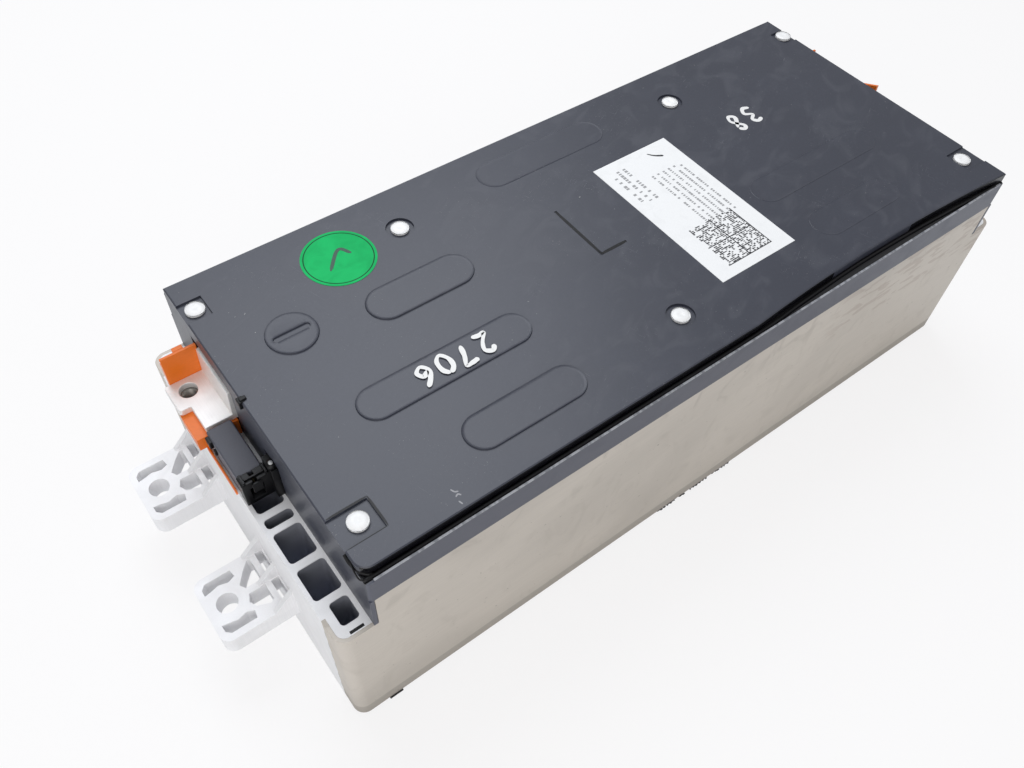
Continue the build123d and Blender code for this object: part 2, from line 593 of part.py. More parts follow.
with BuildPart() as cover:
    with BuildSketch(Plane.XY.offset(SIDE_TOP)):
        Rectangle(2 * HALF_COVER, BODY_WIDTH)
        fillet(vertices(), COVER_CORNER)
    extrude(amount=LEDGE_TOP - SIDE_TOP)
    with BuildSketch(Plane.XY.offset(LEDGE_TOP)):
        with BuildLine():
            edge_y = HALF_WIDTH - LEDGE_WIDTH
            bow_start = (BOW_START_X, -edge_y)
            far_corner = (HALF_COVER, -edge_y - BOW_END_DROP)
            Line((-HALF_COVER, -edge_y), bow_start)
            ThreePointArc(bow_start, (BOW_DEEPEST_X, -edge_y + BOW), far_corner)
            Polyline(far_corner, (HALF_COVER, edge_y), (-HALF_COVER, edge_y), (-HALF_COVER, -edge_y))
        make_face()
        near_corner = [v for v in vertices() if v.X < -HALF_COVER + TOUCH and v.Y < 0]
        fillet(near_corner, NEAR_CORNER_ROUND)
    extrude(amount=BODY_HEIGHT - LEDGE_TOP)
    top_rim = cover.faces().sort_by(Axis.Z)[-1].edges()
    chamfer(top_rim, TOP_CHAMFER)
    for lip_side in (-1, 1):
        block((-HALF_COVER + LIP_END_GAP, HALF_COVER - LIP_END_GAP),
              (lip_side * (HALF_WIDTH - LIP_WIDTH), lip_side * HALF_WIDTH), (LEDGE_TOP, LIP_TOP))
    for wall_end in (-1, 1):
        block(outward(wall_end, -COVER_WALL, 0), (-HALF_WIDTH, HALF_WIDTH), (END_PLATE_TOP, SIDE_TOP))
    with BuildSketch(Plane.XY.offset(BODY_HEIGHT)):
        for panel_x, panel_y in RAISED_PANELS:
            obround(panel_x, panel_y)
        with Locations(MINUS_CENTRE):
            Circle(MINUS_RADIUS)
            SlotOverall(*MINUS_BAR, mode=Mode.SUBTRACT)
    extrude(amount=EMBOSS, taper=EMBOSS_TAPER)
    step_x, step_y = STEP_CORNER
    along_x = (step_x, step_x + STEP_ARMS[0])
    along_y = (step_y, step_y + STEP_ARMS[1])
    groove_z = (BODY_HEIGHT - EMBOSS, BODY_HEIGHT)
    block((step_x, step_x + STEP_WIDTH), along_y, groove_z, mode=Mode.SUBTRACT)
    block(along_x, (step_y, step_y + STEP_WIDTH), groove_z, mode=Mode.SUBTRACT)
    inner_x = (-HALF_COVER + COVER_WALL, HALF_COVER - COVER_WALL)
    block(inner_x, (-HALF_WIDTH + SHEET, HALF_WIDTH - SHEET),
          (END_PLATE_TOP, LEDGE_TOP - COVER_WALL), mode=Mode.SUBTRACT)
    block(inner_x, (-HALF_WIDTH + HOLLOW_MARGIN[0], HALF_WIDTH - HOLLOW_MARGIN[1]),
          (LEDGE_TOP - COVER_WALL, COVER_UNDERSIDE), mode=Mode.SUBTRACT)
    for pad_x, pad_y in CORNER_PADS:
        block(pad_x, pad_y, (BODY_HEIGHT - PAD_DEPTH, BODY_HEIGHT), mode=Mode.SUBTRACT)
    with BuildSketch(Plane.XY.offset(BODY_HEIGHT)):
        with Locations(*RIVETS[2:5]):
            Circle(COUNTERSINK_RADIUS)
    extrude(amount=-PAD_DEPTH, mode=Mode.SUBTRACT)
    with BuildSketch(Plane.XY.offset(BODY_HEIGHT)):
        with Locations(*RIVETS):
            Circle(RIVET_SHANK)
    extrude(amount=COVER_UNDERSIDE - BODY_HEIGHT, mode=Mode.SUBTRACT)
    for wall_end, openings in ((-1, (BAR_OPENING, CONNECTOR_OPENING)), (1, (BAR_OPENING,))):
        for opening_y, opening_top in openings:
            block(outward(wall_end, -COVER_WALL, 0), opening_y, (END_PLATE_TOP, opening_top),
                  mode=Mode.SUBTRACT)
save(cover, "cover")

# ---------------------------------------------------------------- rivets, label and sticker
with BuildPart() as rivets:
    head_bottom = BODY_HEIGHT - PAD_DEPTH
    with BuildSketch(Plane.XY.offset(head_bottom)):
        with Locations(*RIVETS):
            Circle(RIVET_HEAD)
    extrude(amount=RIVET_HEAD_HEIGHT)
    fillet(rivets.edges().filter_by(GeomType.CIRCLE).group_by(Axis.Z)[-1], RIVET_HEAD_ROUND)
    with BuildSketch(Plane.XY.offset(head_bottom)):
        with Locations(*RIVETS):
            Circle(RIVET_SHANK - TOUCH)
    extrude(amount=-RIVET_SHANK_LENGTH)
save(rivets, "cover_rivets")

LABEL_CENTRE = (33.55, -8.5)
LABEL_SIZE = (41.0, 79.0)
STICKER_CENTRE = (-102.05, 47.8)
STICKER_RADIUS = 15.0
FOIL = 0.15

with BuildPart() as label:
    with BuildSketch(Plane.XY.offset(BODY_HEIGHT)):
        with Locations(LABEL_CENTRE):
            Rectangle(*LABEL_SIZE)
    extrude(amount=FOIL)
save(label, "data_label")

with BuildPart() as sticker:
    with BuildSketch(Plane.XY.offset(BODY_HEIGHT)):
        with Locations(STICKER_CENTRE):
            Circle(STICKER_RADIUS)
    extrude(amount=FOIL)
save(sticker, "round_sticker")
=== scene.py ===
"""Looks of an EV battery module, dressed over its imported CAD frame.

Metres, X along the module, Y across it, Z up.  The end with the signal connector is at -X and the
power terminals are nearer the +Y side.
"""

import json
import logging
import math
from dataclasses import dataclass, field
from enum import Enum
from typing import Callable, Sequence, Union

import bmesh
import bpy
from mathutils import Matrix, Vector


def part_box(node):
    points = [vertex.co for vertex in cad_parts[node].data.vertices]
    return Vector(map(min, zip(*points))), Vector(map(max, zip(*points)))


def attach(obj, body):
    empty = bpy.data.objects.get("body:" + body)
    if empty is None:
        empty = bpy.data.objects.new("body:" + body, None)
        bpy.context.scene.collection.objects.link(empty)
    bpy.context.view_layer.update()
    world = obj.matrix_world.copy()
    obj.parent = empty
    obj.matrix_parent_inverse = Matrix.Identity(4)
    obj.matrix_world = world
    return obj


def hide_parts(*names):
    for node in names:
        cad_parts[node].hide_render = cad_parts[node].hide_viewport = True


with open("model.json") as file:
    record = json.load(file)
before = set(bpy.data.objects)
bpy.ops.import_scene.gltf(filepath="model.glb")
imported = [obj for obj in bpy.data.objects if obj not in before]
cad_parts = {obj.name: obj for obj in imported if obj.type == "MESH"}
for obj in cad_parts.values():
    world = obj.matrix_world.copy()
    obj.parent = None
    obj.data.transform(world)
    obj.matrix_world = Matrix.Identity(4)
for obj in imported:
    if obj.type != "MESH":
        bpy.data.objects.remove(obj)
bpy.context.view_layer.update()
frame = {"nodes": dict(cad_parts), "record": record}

LOG = logging.getLogger("battery_module")
MM = 0.001
WELD_DISTANCE = 1e-6
FLAT_ANGLE = math.radians(0.6)
SHARP_ANGLE = math.radians(35.0)
BEVEL_FACES = 2
BLACK = (0.004, 0.004, 0.005)
Colour = tuple[float, float, float]
Point = tuple[float, float, float]


# ------------------------------------------------------------------ node trees
def math_method(operation: str, swapped: bool = False) -> Callable[..., "Wire"]:
    """A method of a wire that adds one Math node.

    Args:
        operation: Blender's name of the operation.
        swapped: Whether the wire is the second of the two values.

    Returns:
        The method.
    """
    def method(self: "Wire", other: "Value" = 0.0) -> "Wire":
        """Add the node and return its result."""
        values = (other, self) if swapped else (self, other)
        return self.math(operation, *values)
    return method


@dataclass(frozen=True)
class Wire:
    """An output socket that takes part in arithmetic by adding Math nodes."""

    graph: "NodeGraph"
    socket: bpy.types.NodeSocket

    def math(self, operation: str, first: "Value", second: "Value") -> "Wire":
        """Add one Math node.

        Args:
            operation: Blender's name of the operation.
            first: Its first value.
            second: Its second value.

        Returns:
            The node's result.
        """
        node = self.graph.add("ShaderNodeMath", {"operation": operation}, {0: first, 1: second})
        return Wire(self.graph, node.outputs[0])

    __add__ = math_method("ADD")
    __radd__ = math_method("ADD", swapped=True)
    __sub__ = math_method("SUBTRACT")
    __rsub__ = math_method("SUBTRACT", swapped=True)
    __mul__ = math_method("MULTIPLY")
    __rmul__ = math_method("MULTIPLY", swapped=True)
    __truediv__ = math_method("DIVIDE")
    __pow__ = math_method("POWER")
    __abs__ = math_method("ABSOLUTE")
    above = math_method("GREATER_THAN")
    least = math_method("MINIMUM")
    most = math_method("MAXIMUM")

    def ramp(self, low: float, high: float, to_low: float = 0.0, to_high: float = 1.0) -> "Wire":
        """Map a range smoothly to another one.

        Args:
            low: Where the result is to_low.
            high: Where the result is to_high.
            to_low: Result at and before low.
            to_high: Result at and after high.

        Returns:
            The mapped value.
        """
        node = self.graph.add(
            "ShaderNodeMapRange", {"interpolation_type": "SMOOTHSTEP"},
            {"Value": self, "From Min": low, "From Max": high, "To Min": to_low, "To Max": to_high},
        )
        return Wire(self.graph, node.outputs["Result"])


Value = Union[Wire, float]


class NodeGraph:
    """A node tree that is written as expressions."""

    def __init__(self, tree: bpy.types.NodeTree) -> None:
        """Take an empty tree."""
        self.tree = tree

    def add(self, kind: str, settings: dict | None = None,
            inputs: dict | None = None) -> bpy.types.Node:
        """Add one node of any type.

        Args:
            kind: The node's type name.
            settings: Its own settings, set before its sockets.
            inputs: Values or wires for its sockets, by name or index.

        Returns:
            The new node.
        """
        node = self.tree.nodes.new(kind)
        for key, value in (settings or {}).items():
            setattr(node, key, value)
        for key, value in (inputs or {}).items():
            self.feed(node.inputs[key], value)
        return node

    def feed(self, socket: bpy.types.NodeSocket, value: object) -> None:
        """Link a wire to a socket, or set the socket's own value."""
        if isinstance(value, Wire):
            self.tree.links.new(value.socket, socket)
        elif isinstance(value, bpy.types.NodeSocket):
            self.tree.links.new(value, socket)
        else:
            socket.default_value = value

    def wire(self, node: bpy.types.Node, output: int | str = 0) -> Wire:
        """The named output of a node."""
        return Wire(self, node.outputs[output])


class Surface(NodeGraph):
    """The node tree of one material, on a Principled shader."""

    def __init__(self, name: str) -> None:
        """Start a material with its shader, its output and its coordinates."""
        self.material = bpy.data.materials.new(name)
        self.material.use_nodes = True
        super().__init__(self.material.node_tree)
        self.tree.nodes.clear()
        self.shader = self.add("ShaderNodeBsdfPrincipled")
        self.output = self.add("ShaderNodeOutputMaterial", None, {"Surface": self.shader.outputs[0]})
        self.place = self.add("ShaderNodeTexCoord").outputs["Object"]
        self.axes()

    def axes(self) -> None:
        """Split the coordinates into three values."""
        split = self.add("ShaderNodeSeparateXYZ", None, {0: self.place})
        self.x, self.y, self.z = (self.wire(split, index) for index in range(3))

    @classmethod
    def over(cls, material: bpy.types.Material) -> "Surface":
        """Take up a finished material again to add to it.

        Args:
            material: The material.

        Returns:
            Its tree, with its shader and its coordinates.
        """
        surface = cls.__new__(cls)
        NodeGraph.__init__(surface, material.node_tree)
        surface.material = material
        nodes = surface.tree.nodes
        surface.shader = next(node for node in nodes if node.type == "BSDF_PRINCIPLED")
        surface.place = next(node for node in nodes if node.type == "TEX_COORD").outputs["Object"]
        surface.axes()
        return surface

    def noise(self, size: float, detail: float = 3.0, stretch: Point = (1.0, 1.0, 1.0),
              turn: float = 0.0, warp: float = 0.0) -> Wire:
        """Cloudy noise between about 0.3 and 0.7.

        Args:
            size: Size of its features, in metres.
            detail: How many finer layers it has.
            stretch: How many times longer a feature is along each axis.
            turn: Angle about Z at which it is stretched, in radians.
            warp: How much it is distorted.

        Returns:
            The noise value.
        """
        scale = tuple(1.0 / (size * length) for length in stretch)
        mapping = self.add("ShaderNodeMapping", {"vector_type": "TEXTURE"},
                           {"Vector": self.place, "Rotation": (0.0, 0.0, turn)})
        sized = self.add("ShaderNodeMapping", None, {"Vector": mapping.outputs[0], "Scale": scale})
        node = self.add("ShaderNodeTexNoise", None, {
            "Vector": sized.outputs[0], "Scale": 1.0, "Detail": detail, "Distortion": warp})
        return self.wire(node, "Fac")

    def blend(self, factor: Value, first: object, second: object) -> bpy.types.NodeSocket:
        """Mix two colours.

        Args:
            factor: How much of the second colour there is.
            first: Colour or socket where the factor is 0.
            second: Colour or socket where the factor is 1.

        Returns:
            The socket of the mixed colour.
        """
        node = self.tree.nodes.new("ShaderNodeMix")
        node.data_type = "RGBA"
        sockets = {socket.identifier: socket for socket in node.inputs}
        self.feed(sockets["Factor_Float"], factor)
        for key, value in (("A_Color", first), ("B_Color", second)):
            self.feed(sockets[key], (*value, 1.0) if isinstance(value, tuple) else value)
        return next(socket for socket in node.outputs if socket.identifier == "Result_Color")

    def near(self, x: float, y: float) -> Wire:
        """Distance in plan from a point."""
        return ((self.x - x) ** 2.0 + (self.y - y) ** 2.0) ** 0.5

    def scratches(self, length: float, width: float, turn: float, rarity: float) -> Wire:
        """Thin straight scratches in one direction.

        Args:
            length: Length of a scratch, in metres.
            width: Its width, in metres.
            turn: Its direction about Z, in radians.
            rarity: Noise level over which a scratch shows, from 0.6 upwards.

        Returns:
            A mask that is one on a scratch.
        """
        lines = self.noise(width, 1.0, (length / width, 1.0, 1.0), turn)
        return lines.ramp(rarity, rarity + 0.04)

    def bumps(self, *layers: tuple[Value, float]) -> None:
        """Chain height layers into the shader's normal.

        Args:
            layers: Pairs of a height between 0 and 1 and its depth in metres.
        """
        normal = None
        for height, depth in layers:
            inputs = {"Height": height, "Distance": depth, "Strength": 1.0}
            if normal is not None:
                inputs["Normal"] = normal
            normal = self.add("ShaderNodeBump", None, inputs).outputs[0]
        self.feed(self.shader.inputs["Normal"], normal)

    def finish(self, **sockets: object) -> bpy.types.Material:
        """Set the shader's sockets, with underscores for spaces, and return the material."""
        for name, value in sockets.items():
            socket = self.shader.inputs[name.replace("_", " ")]
            self.feed(socket, (*value, 1.0) if isinstance(value, tuple) and len(value) == 3 else value)
        return self.material


def shade(colour: Colour, factor: float) -> Colour:
    """A colour made lighter or darker by a factor."""
    return tuple(min(1.0, channel * factor) for channel in colour)


# ------------------------------------------------------------------ finishes
@dataclass(frozen=True)
class MouldedPlastic:
    """Moulded plastic with a fine grain, faint smudges, pale specks and a few fine scratches."""

    name: str
    colour: Colour
    roughness: float = 0.45
    grain: float = 0.35 * MM
    grain_depth: float = 0.02 * MM
    dust: float = 0.25
    scuffs: float = 0.25
    sheen: Colour = (0.55, 0.56, 0.60)
    gloss: float = 0.5

    def build(self) -> bpy.types.Material:
        """Make the material."""
        s = Surface(self.name)
        cloud = s.noise(38 * MM, 4.0, warp=0.6)
        smudge = s.noise(13 * MM, 5.0, (1.6, 1.0, 1.0), 0.5, 1.4).ramp(0.46, 0.72)
        speck = s.noise(0.5 * MM, 2.0).ramp(0.715, 0.76) * s.noise(24 * MM, 2.0).ramp(0.42, 0.62)
        crumb = s.noise(1.5 * MM, 2.0).ramp(0.77, 0.80) * s.noise(31 * MM, 2.0).ramp(0.50, 0.66)
        marks = (
            s.scratches(5 * MM, 0.16 * MM, 0.5, 0.735)
            + s.scratches(3 * MM, 0.14 * MM, -1.0, 0.745)
            + s.scratches(9 * MM, 0.14 * MM, 1.9, 0.755)
        ) * s.noise(22 * MM, 2.0).ramp(0.50, 0.66)
        mottle = s.noise(1.1 * MM, 3.0)
        fine = s.noise(self.grain, 2.0)
        body = s.blend(cloud.ramp(0.3, 0.7), shade(self.colour, 0.95), shade(self.colour, 1.05))
        grained = s.blend(mottle.ramp(0.35, 0.65) * 0.5, body, shade(self.colour, 0.90))
        hazed = s.blend(smudge * 0.09 * self.dust, grained, self.sheen)
        worn = s.blend(marks.least(1.0) * self.scuffs, hazed, self.sheen)
        dusted = s.blend(speck * self.dust, worn, (0.62, 0.61, 0.58))
        crumbed = s.blend(crumb * self.dust * 1.6, dusted, (0.70, 0.69, 0.66))
        s.bumps((fine, self.grain_depth), (1.0 - marks.least(1.0), 0.01 * MM))
        rough = self.roughness + (smudge - 0.5) * 0.05 + speck * 0.2 + (cloud - 0.5) * 0.06
        return s.finish(Base_Color=crumbed, Roughness=rough.most(0.05), Specular_IOR_Level=self.gloss)


@dataclass(frozen=True)
class LedgedPlastic(MouldedPlastic):
    """Moulded plastic with painted shade, glossier, in the groove along its left edge, a painted highlight
    on the raised edge beyond it and painted light on the side face below.
    """

    ledge_y: float = 0.0
    lip_y: float = 0.0
    ledge_z: float = 0.0
    lip_z: float = 0.0
    top_z: float = 0.0
    # How many times lighter the side face below the raised edge is painted: painted light.
    outer: float = 1.45

    def build(self) -> bpy.types.Material:
        """Make the material."""
        s = Surface.over(super().build())
        sunk = s.z.above(self.ledge_z) * (1.0 - s.z.above(self.top_z))
        # Painted shade: the groove along the ledge is painted very dark, and made glossier.
        ledge = sunk * (1.0 - s.y.above(self.ledge_y)) * s.y.above(self.lip_y)
        beyond = 1.0 - s.y.above(self.lip_y)
        # Painted highlight along the raised edge beyond the groove; the noise named worn only breaks the
        # painted highlight up.
        worn = s.noise(6 * MM, 3.0, (0.3, 1.0, 1.0)).ramp(0.35, 0.6, 0.35, 1.0)
        lip_highlight = beyond * s.z.above(self.lip_z) * (1.0 - s.z.above(self.top_z)) * worn
        base, rough = s.shader.inputs["Base Color"], s.shader.inputs["Roughness"]
        plain = base.links[0].from_socket
        # Painted light: the outer side face below the raised edge is a lighter copy of the cover's colour.
        side = s.blend(beyond * (1.0 - s.z.above(self.lip_z)), plain, shade(self.colour, self.outer))
        # Painted shade in the groove.
        with_groove_shade = s.blend(ledge, side, (0.004, 0.004, 0.006))
        # Painted highlight on the raised edge, over the painted shade of the groove.
        s.feed(base, s.blend(lip_highlight, with_groove_shade, (0.34, 0.35, 0.38)))
        s.feed(rough, Wire(s, rough.links[0].from_socket) * (1.0 - ledge * 0.35))
        return s.material


@dataclass(frozen=True)
class RolledSheet:
    """Rolled steel sheet with a warm passivation, darker blotches that grow towards its top edge and
    painted shade along the bend at its foot.
    """

    name: str
    colour: Colour
    foot: float
    top: float

    def build(self) -> bpy.types.Material:
        """Make the material."""
        s = Surface(self.name)
        cloud = s.noise(60 * MM, 3.0, (1.8, 1.0, 1.0), 0.0, 0.8)
        blotches = s.noise(16 * MM, 4.0, (1.0, 1.0, 1.5), 0.0, 2.0).ramp(0.50, 0.72)
        rolled = s.noise(0.35 * MM, 2.0, (60.0, 1.0, 1.0))
        spatter = s.noise(1.6 * MM, 2.0).ramp(0.73, 0.78)
        wave = (s.noise(30 * MM, 2.0, (1.0, 1.0, 0.2)) - 0.5) * 4 * MM
        foot = (s.z + wave * 0.4).ramp(self.foot + 7.4 * MM, self.foot + 8.4 * MM, 1.0, 0.0)
        rim = s.z.ramp(self.top - 30 * MM, self.top, 0.0, 1.0)
        runs = s.noise(15 * MM, 2.0, (1.0, 1.0, 0.25)).ramp(0.53, 0.56) * s.x.ramp(50 * MM, 80 * MM)
        drops = runs * (s.z + wave * 5.0).ramp(self.top - 32 * MM, self.top - 28 * MM)
        tone = s.blend(cloud.ramp(0.35, 0.65), shade(self.colour, 0.93), shade(self.colour, 1.07))
        lined = s.blend(rolled.ramp(0.3, 0.7) * 0.25, tone, shade(self.colour, 0.84))
        # Painted shade along the bend at the foot.
        shaded = s.blend(foot * 0.42, lined, shade(self.colour, 0.42))
        # Darker blotches everywhere, stronger towards the top edge.
        touched = s.blend(blotches * (0.10 + rim * 0.22), shaded, shade(self.colour, 0.64))
        stained = s.blend(drops * 0.30, touched, (0.33, 0.25, 0.21))
        marked = s.blend(spatter * 0.5, stained, (0.16, 0.14, 0.12))
        nicks = s.scratches(18 * MM, 0.16 * MM, 0.0, 0.72)
        s.bumps((rolled, 0.006 * MM), (1.0 - nicks, 0.01 * MM))
        rough = 0.52 + (cloud - 0.5) * 0.12 + blotches * 0.10 + spatter * 0.1
        return s.finish(Base_Color=marked, Metallic=0.42, Roughness=rough)


@dataclass(frozen=True)
class BareMetal:
    """Extruded or rolled metal with fine drawn lines, dull patches and small nicks."""

    name: str
    colour: Colour
    roughness: float = 0.36
    metallic: float = 0.9
    line_stretch: Point = (1.0, 1.0, 70.0)
    stain: float = 0.2

    def build(self) -> bpy.types.Material:
        """Make the material."""
        s = Surface(self.name)
        lines = s.noise(0.22 * MM, 2.0, self.line_stretch)
        cloud = s.noise(14 * MM, 4.0, warp=1.0)
        pits = s.noise(0.8 * MM, 2.0).ramp(0.72, 0.78)
        nicks = s.scratches(7 * MM, 0.12 * MM, 0.7, 0.72) + s.scratches(9 * MM, 0.12 * MM, -0.6, 0.73)
        tone = s.blend(cloud.ramp(0.35, 0.7), self.colour, shade(self.colour, 1.0 - 0.5 * self.stain))
        drawn = s.blend(lines.ramp(0.3, 0.7) * 0.3, tone, shade(self.colour, 0.84))
        worn = s.blend((pits * 0.4 + nicks * 0.3) * self.stain * 2.0, drawn, shade(self.colour, 0.45))
        s.bumps((lines, 0.008 * MM), (1.0 - nicks.least(1.0), 0.012 * MM))
        rough = self.roughness + (cloud - 0.5) * 0.2 + lines * 0.06
        return s.finish(Base_Color=worn, Metallic=self.metallic, Roughness=rough)


@dataclass(frozen=True)
class HollowExtrusion(BareMetal):
    """Extruded metal with painted shade inside its open chambers: dull and dark, darker with depth."""

    chamber: tuple[float, float] = (0.0, 0.0)
    mouth: float = 0.0
    # Colour of the painted shade inside the chambers.
    chamber_shade: Colour = (0.52, 0.54, 0.62)

    def build(self) -> bpy.types.Material:
        """Make the material."""
        material = super().build()
        s = Surface.over(material)
        inside = (
            abs(s.x).above(self.chamber[0]) * (1.0 - abs(s.x).above(self.chamber[1]))
            * (1.0 - s.z.above(self.mouth))
        )
        base = s.shader.inputs["Base Color"]
        plain = base.links[0].from_socket
        # Painted shade, darker the deeper the wall is below the mouth.
        depth = s.z.ramp(self.mouth - 30 * MM, self.mouth, 1.0, 0.0)
        chamber_shade = s.blend(depth, shade(self.chamber_shade, 0.42), shade(self.chamber_shade, 1.5))
        s.feed(base, s.blend(inside, plain, chamber_shade))
        s.feed(s.shader.inputs["Metallic"], self.metallic * (1.0 - inside))
        return material


@dataclass(frozen=True)
class Printed:
    """Paper, foil, ink or marker paint: a nearly flat coat with fibres and worn patches."""

    name: str
    colour: Colour
    roughness: float = 0.6
    fibre: float = 0.3 * MM
    worn: float = 0.15

    def build(self) -> bpy.types.Material:
        """Make the material."""
        s = Surface(self.name)
        fibres = s.noise(self.fibre, 3.0, (2.5, 1.0, 1.0), 0.3)
        patch = s.noise(6 * MM, 4.0, warp=1.0).ramp(0.5, 0.75)
        tone = s.blend(fibres.ramp(0.3, 0.7) * 0.5, self.colour, shade(self.colour, 0.9))
        body = s.blend(patch * self.worn, tone, shade(self.colour, 0.72))
        s.bumps((fibres, 0.012 * MM))
        return s.finish(Base_Color=body, Roughness=self.roughness + (fibres - 0.5) * 0.12)


@dataclass(frozen=True)
class StickerFoil:
    """Round coloured foil with a thin dark ring near its rim."""

    name: str
    colour: Colour
    ring: Colour
    centre: tuple[float, float]
    radius: float
    gloss: float = 0.12

    def build(self) -> bpy.types.Material:
        """Make the material."""
        s = Surface(self.name)
        distance = s.near(*self.centre) / self.radius
        ring = distance.ramp(0.895, 0.905) * distance.ramp(0.925, 0.935, 1.0, 0.0)
        cloud = s.noise(9 * MM, 4.0, warp=1.0)
        fine = s.noise(0.3 * MM, 2.0)
        tone = s.blend(cloud.ramp(0.35, 0.7), self.colour, shade(self.colour, 0.84))
        printed = s.blend(ring * 0.9, tone, self.ring)
        s.bumps((cloud, 0.05 * MM), (fine, 0.008 * MM))
        rough = 0.42 + (cloud - 0.5) * 0.2
        return s.finish(Base_Color=printed, Roughness=rough, Specular_IOR_Level=self.gloss)


class Slot(Enum):
    """The record's material slots."""

    END_PLATE = "end_plate"
    SIDE_SHEET = "side_sheet"
    CELL = "cell_film"
    FOAM = "foam"
    INSULATOR = "insulator"
    FILM = "film"
    LINK = "link"
    CARRIER = "carrier"
    FLEX = "flex"
    BUSBAR = "busbar"
    ORANGE = "orange"
    NUT = "nut"
    CAP = "cap"
    CONNECTOR = "connector"
    PIN = "pin"
    COVER = "cover"
    RIVET = "rivet"
    LABEL = "label"
    STICKER = "sticker"


STICKER_LOW, STICKER_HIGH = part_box("round_sticker")
STICKER_MIDDLE = (STICKER_LOW + STICKER_HIGH) / 2
STICKER_RADIUS = (STICKER_HIGH.x - STICKER_LOW.x) / 2
SHEET_LOW, SHEET_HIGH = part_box("side_sheet_left")
PLATE_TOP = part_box("end_plate_front")[1].z
COVER_LOW, COVER_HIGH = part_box("cover")
PANEL_HEIGHT = 0.6 * MM
PLAIN_TOP = COVER_HIGH.z - PANEL_HEIGHT
CHAMBER_SPAN = (COVER_HIGH.x + 0.9 * MM, SHEET_HIGH.x - 1.3 * MM)

FINISHES = {
    Slot.END_PLATE: HollowExtrusion("extruded_aluminium", (0.90, 0.90, 0.915), 0.5, 0.22, stain=0.10,
                                    chamber=CHAMBER_SPAN, mouth=PLATE_TOP - 0.5 * MM),
    Slot.SIDE_SHEET: RolledSheet("passivated_sheet", (0.59, 0.545, 0.49), SHEET_LOW.z, SHEET_HIGH.z),
    Slot.CELL: MouldedPlastic("cell_film", (0.03, 0.13, 0.42), 0.3, dust=0.1),
    Slot.FOAM: MouldedPlastic("foam", (0.05, 0.05, 0.055), 0.85, 0.7 * MM, 0.1 * MM),
    Slot.INSULATOR: MouldedPlastic("insulator_plastic", (0.03, 0.03, 0.033), 0.55),
    Slot.FILM: MouldedPlastic("insulating_film", (0.012, 0.012, 0.013), 0.35, dust=0.1),
    Slot.LINK: BareMetal("link_strip", (0.82, 0.82, 0.83), 0.3, line_stretch=(50.0, 1.0, 1.0)),
    Slot.CARRIER: MouldedPlastic("carrier_plastic", (0.55, 0.56, 0.57), 0.5),
    Slot.FLEX: MouldedPlastic("flex_film", (0.42, 0.17, 0.03), 0.3, dust=0.05),
    Slot.BUSBAR: BareMetal("terminal_bar", (0.88, 0.87, 0.86), 0.42, 0.4, (1.0, 45.0, 1.0), 0.12),
    Slot.ORANGE: MouldedPlastic("orange_housing", (0.83, 0.17, 0.004), 0.42, dust=0.10, scuffs=0.10,
                                sheen=(1.0, 0.50, 0.20)),
    Slot.NUT: BareMetal("plated_steel", (0.30, 0.29, 0.27), 0.34, 0.9, (1.0, 1.0, 1.0), 0.5),
    Slot.CAP: MouldedPlastic("duct_cap_plastic", (0.068, 0.071, 0.092), 0.5, dust=0.2, scuffs=0.1),
    Slot.CONNECTOR: MouldedPlastic("connector_plastic", BLACK, 0.40, dust=0.05,
                                   scuffs=0.08, gloss=0.28),
    Slot.PIN: BareMetal("tinned_pin", (0.78, 0.68, 0.45), 0.25),
    Slot.COVER: LedgedPlastic("cover_plastic", (0.043, 0.047, 0.066), 0.40, 0.28 * MM, 0.012 * MM,
                              dust=0.35, scuffs=0.22, ledge_y=COVER_LOW.y + 4.8 * MM,
                              lip_y=COVER_LOW.y + 0.75 * MM, ledge_z=COVER_HIGH.z - 5.9 * MM,
                              lip_z=COVER_HIGH.z - 4.7 * MM, top_z=COVER_HIGH.z - 1.0 * MM),
    Slot.RIVET: MouldedPlastic("rivet_nylon", (0.95, 0.95, 0.95), 0.42, dust=0.05, scuffs=0.1,
                               sheen=(0.6, 0.6, 0.58)),
    Slot.LABEL: Printed("label_paper", (0.93, 0.935, 0.94), 0.5),
    Slot.STICKER: StickerFoil("green_foil", (0.0, 0.50, 0.13), (0.0, 0.03, 0.012),
                              (STICKER_MIDDLE.x, STICKER_MIDDLE.y), STICKER_RADIUS),
}


@dataclass
class Wardrobe:
    """Every material of the module, made once and handed out by slot or by name."""

    made: dict[str, bpy.types.Material] = field(default_factory=dict)

    def cloth(self, finish: object) -> bpy.types.Material:
        """The material of a finish, made at its first use."""
        if finish.name not in self.made:
            self.made[finish.name] = finish.build()
        return self.made[finish.name]

    def dress_node(self, node: str, slot: Slot) -> None:
        """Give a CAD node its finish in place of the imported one."""
        mesh = frame["nodes"][node].data
        mesh.materials.clear()
        mesh.materials.append(self.cloth(FINISHES[slot]))

    def dress_piece(self, piece: bpy.types.Object, slot: Slot, finish: object | None = None,
                    replaced: Sequence[str] = ()) -> bpy.types.Object:
        """Finish a new piece, let it ride on the module and hide the CAD nodes that it stands for.

        Args:
            piece: The piece.
            slot: The record's slot that it takes its finish from.
            finish: Its own finish, where that differs from the slot's.
            replaced: CAD nodes that it stands for.

        Returns:
            The same piece.
        """
        piece.data.materials.clear()
        piece.data.materials.append(self.cloth(finish or FINISHES[slot]))
        for polygon in piece.data.polygons:
            polygon.material_index = 0
        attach(piece, "root")
        if replaced:
            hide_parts(*replaced)
        LOG.info("%s: %d faces", piece.name, len(piece.data.polygons))
        return piece


# ------------------------------------------------------------------ mesh helpers
def place(name: str, data: bpy.types.ID) -> bpy.types.Object:
    """Put a mesh, a camera or a lamp into the scene as an object at the origin."""
    thing = bpy.data.objects.new(name, data)
    bpy.context.scene.collection.objects.link(thing)
    return thing


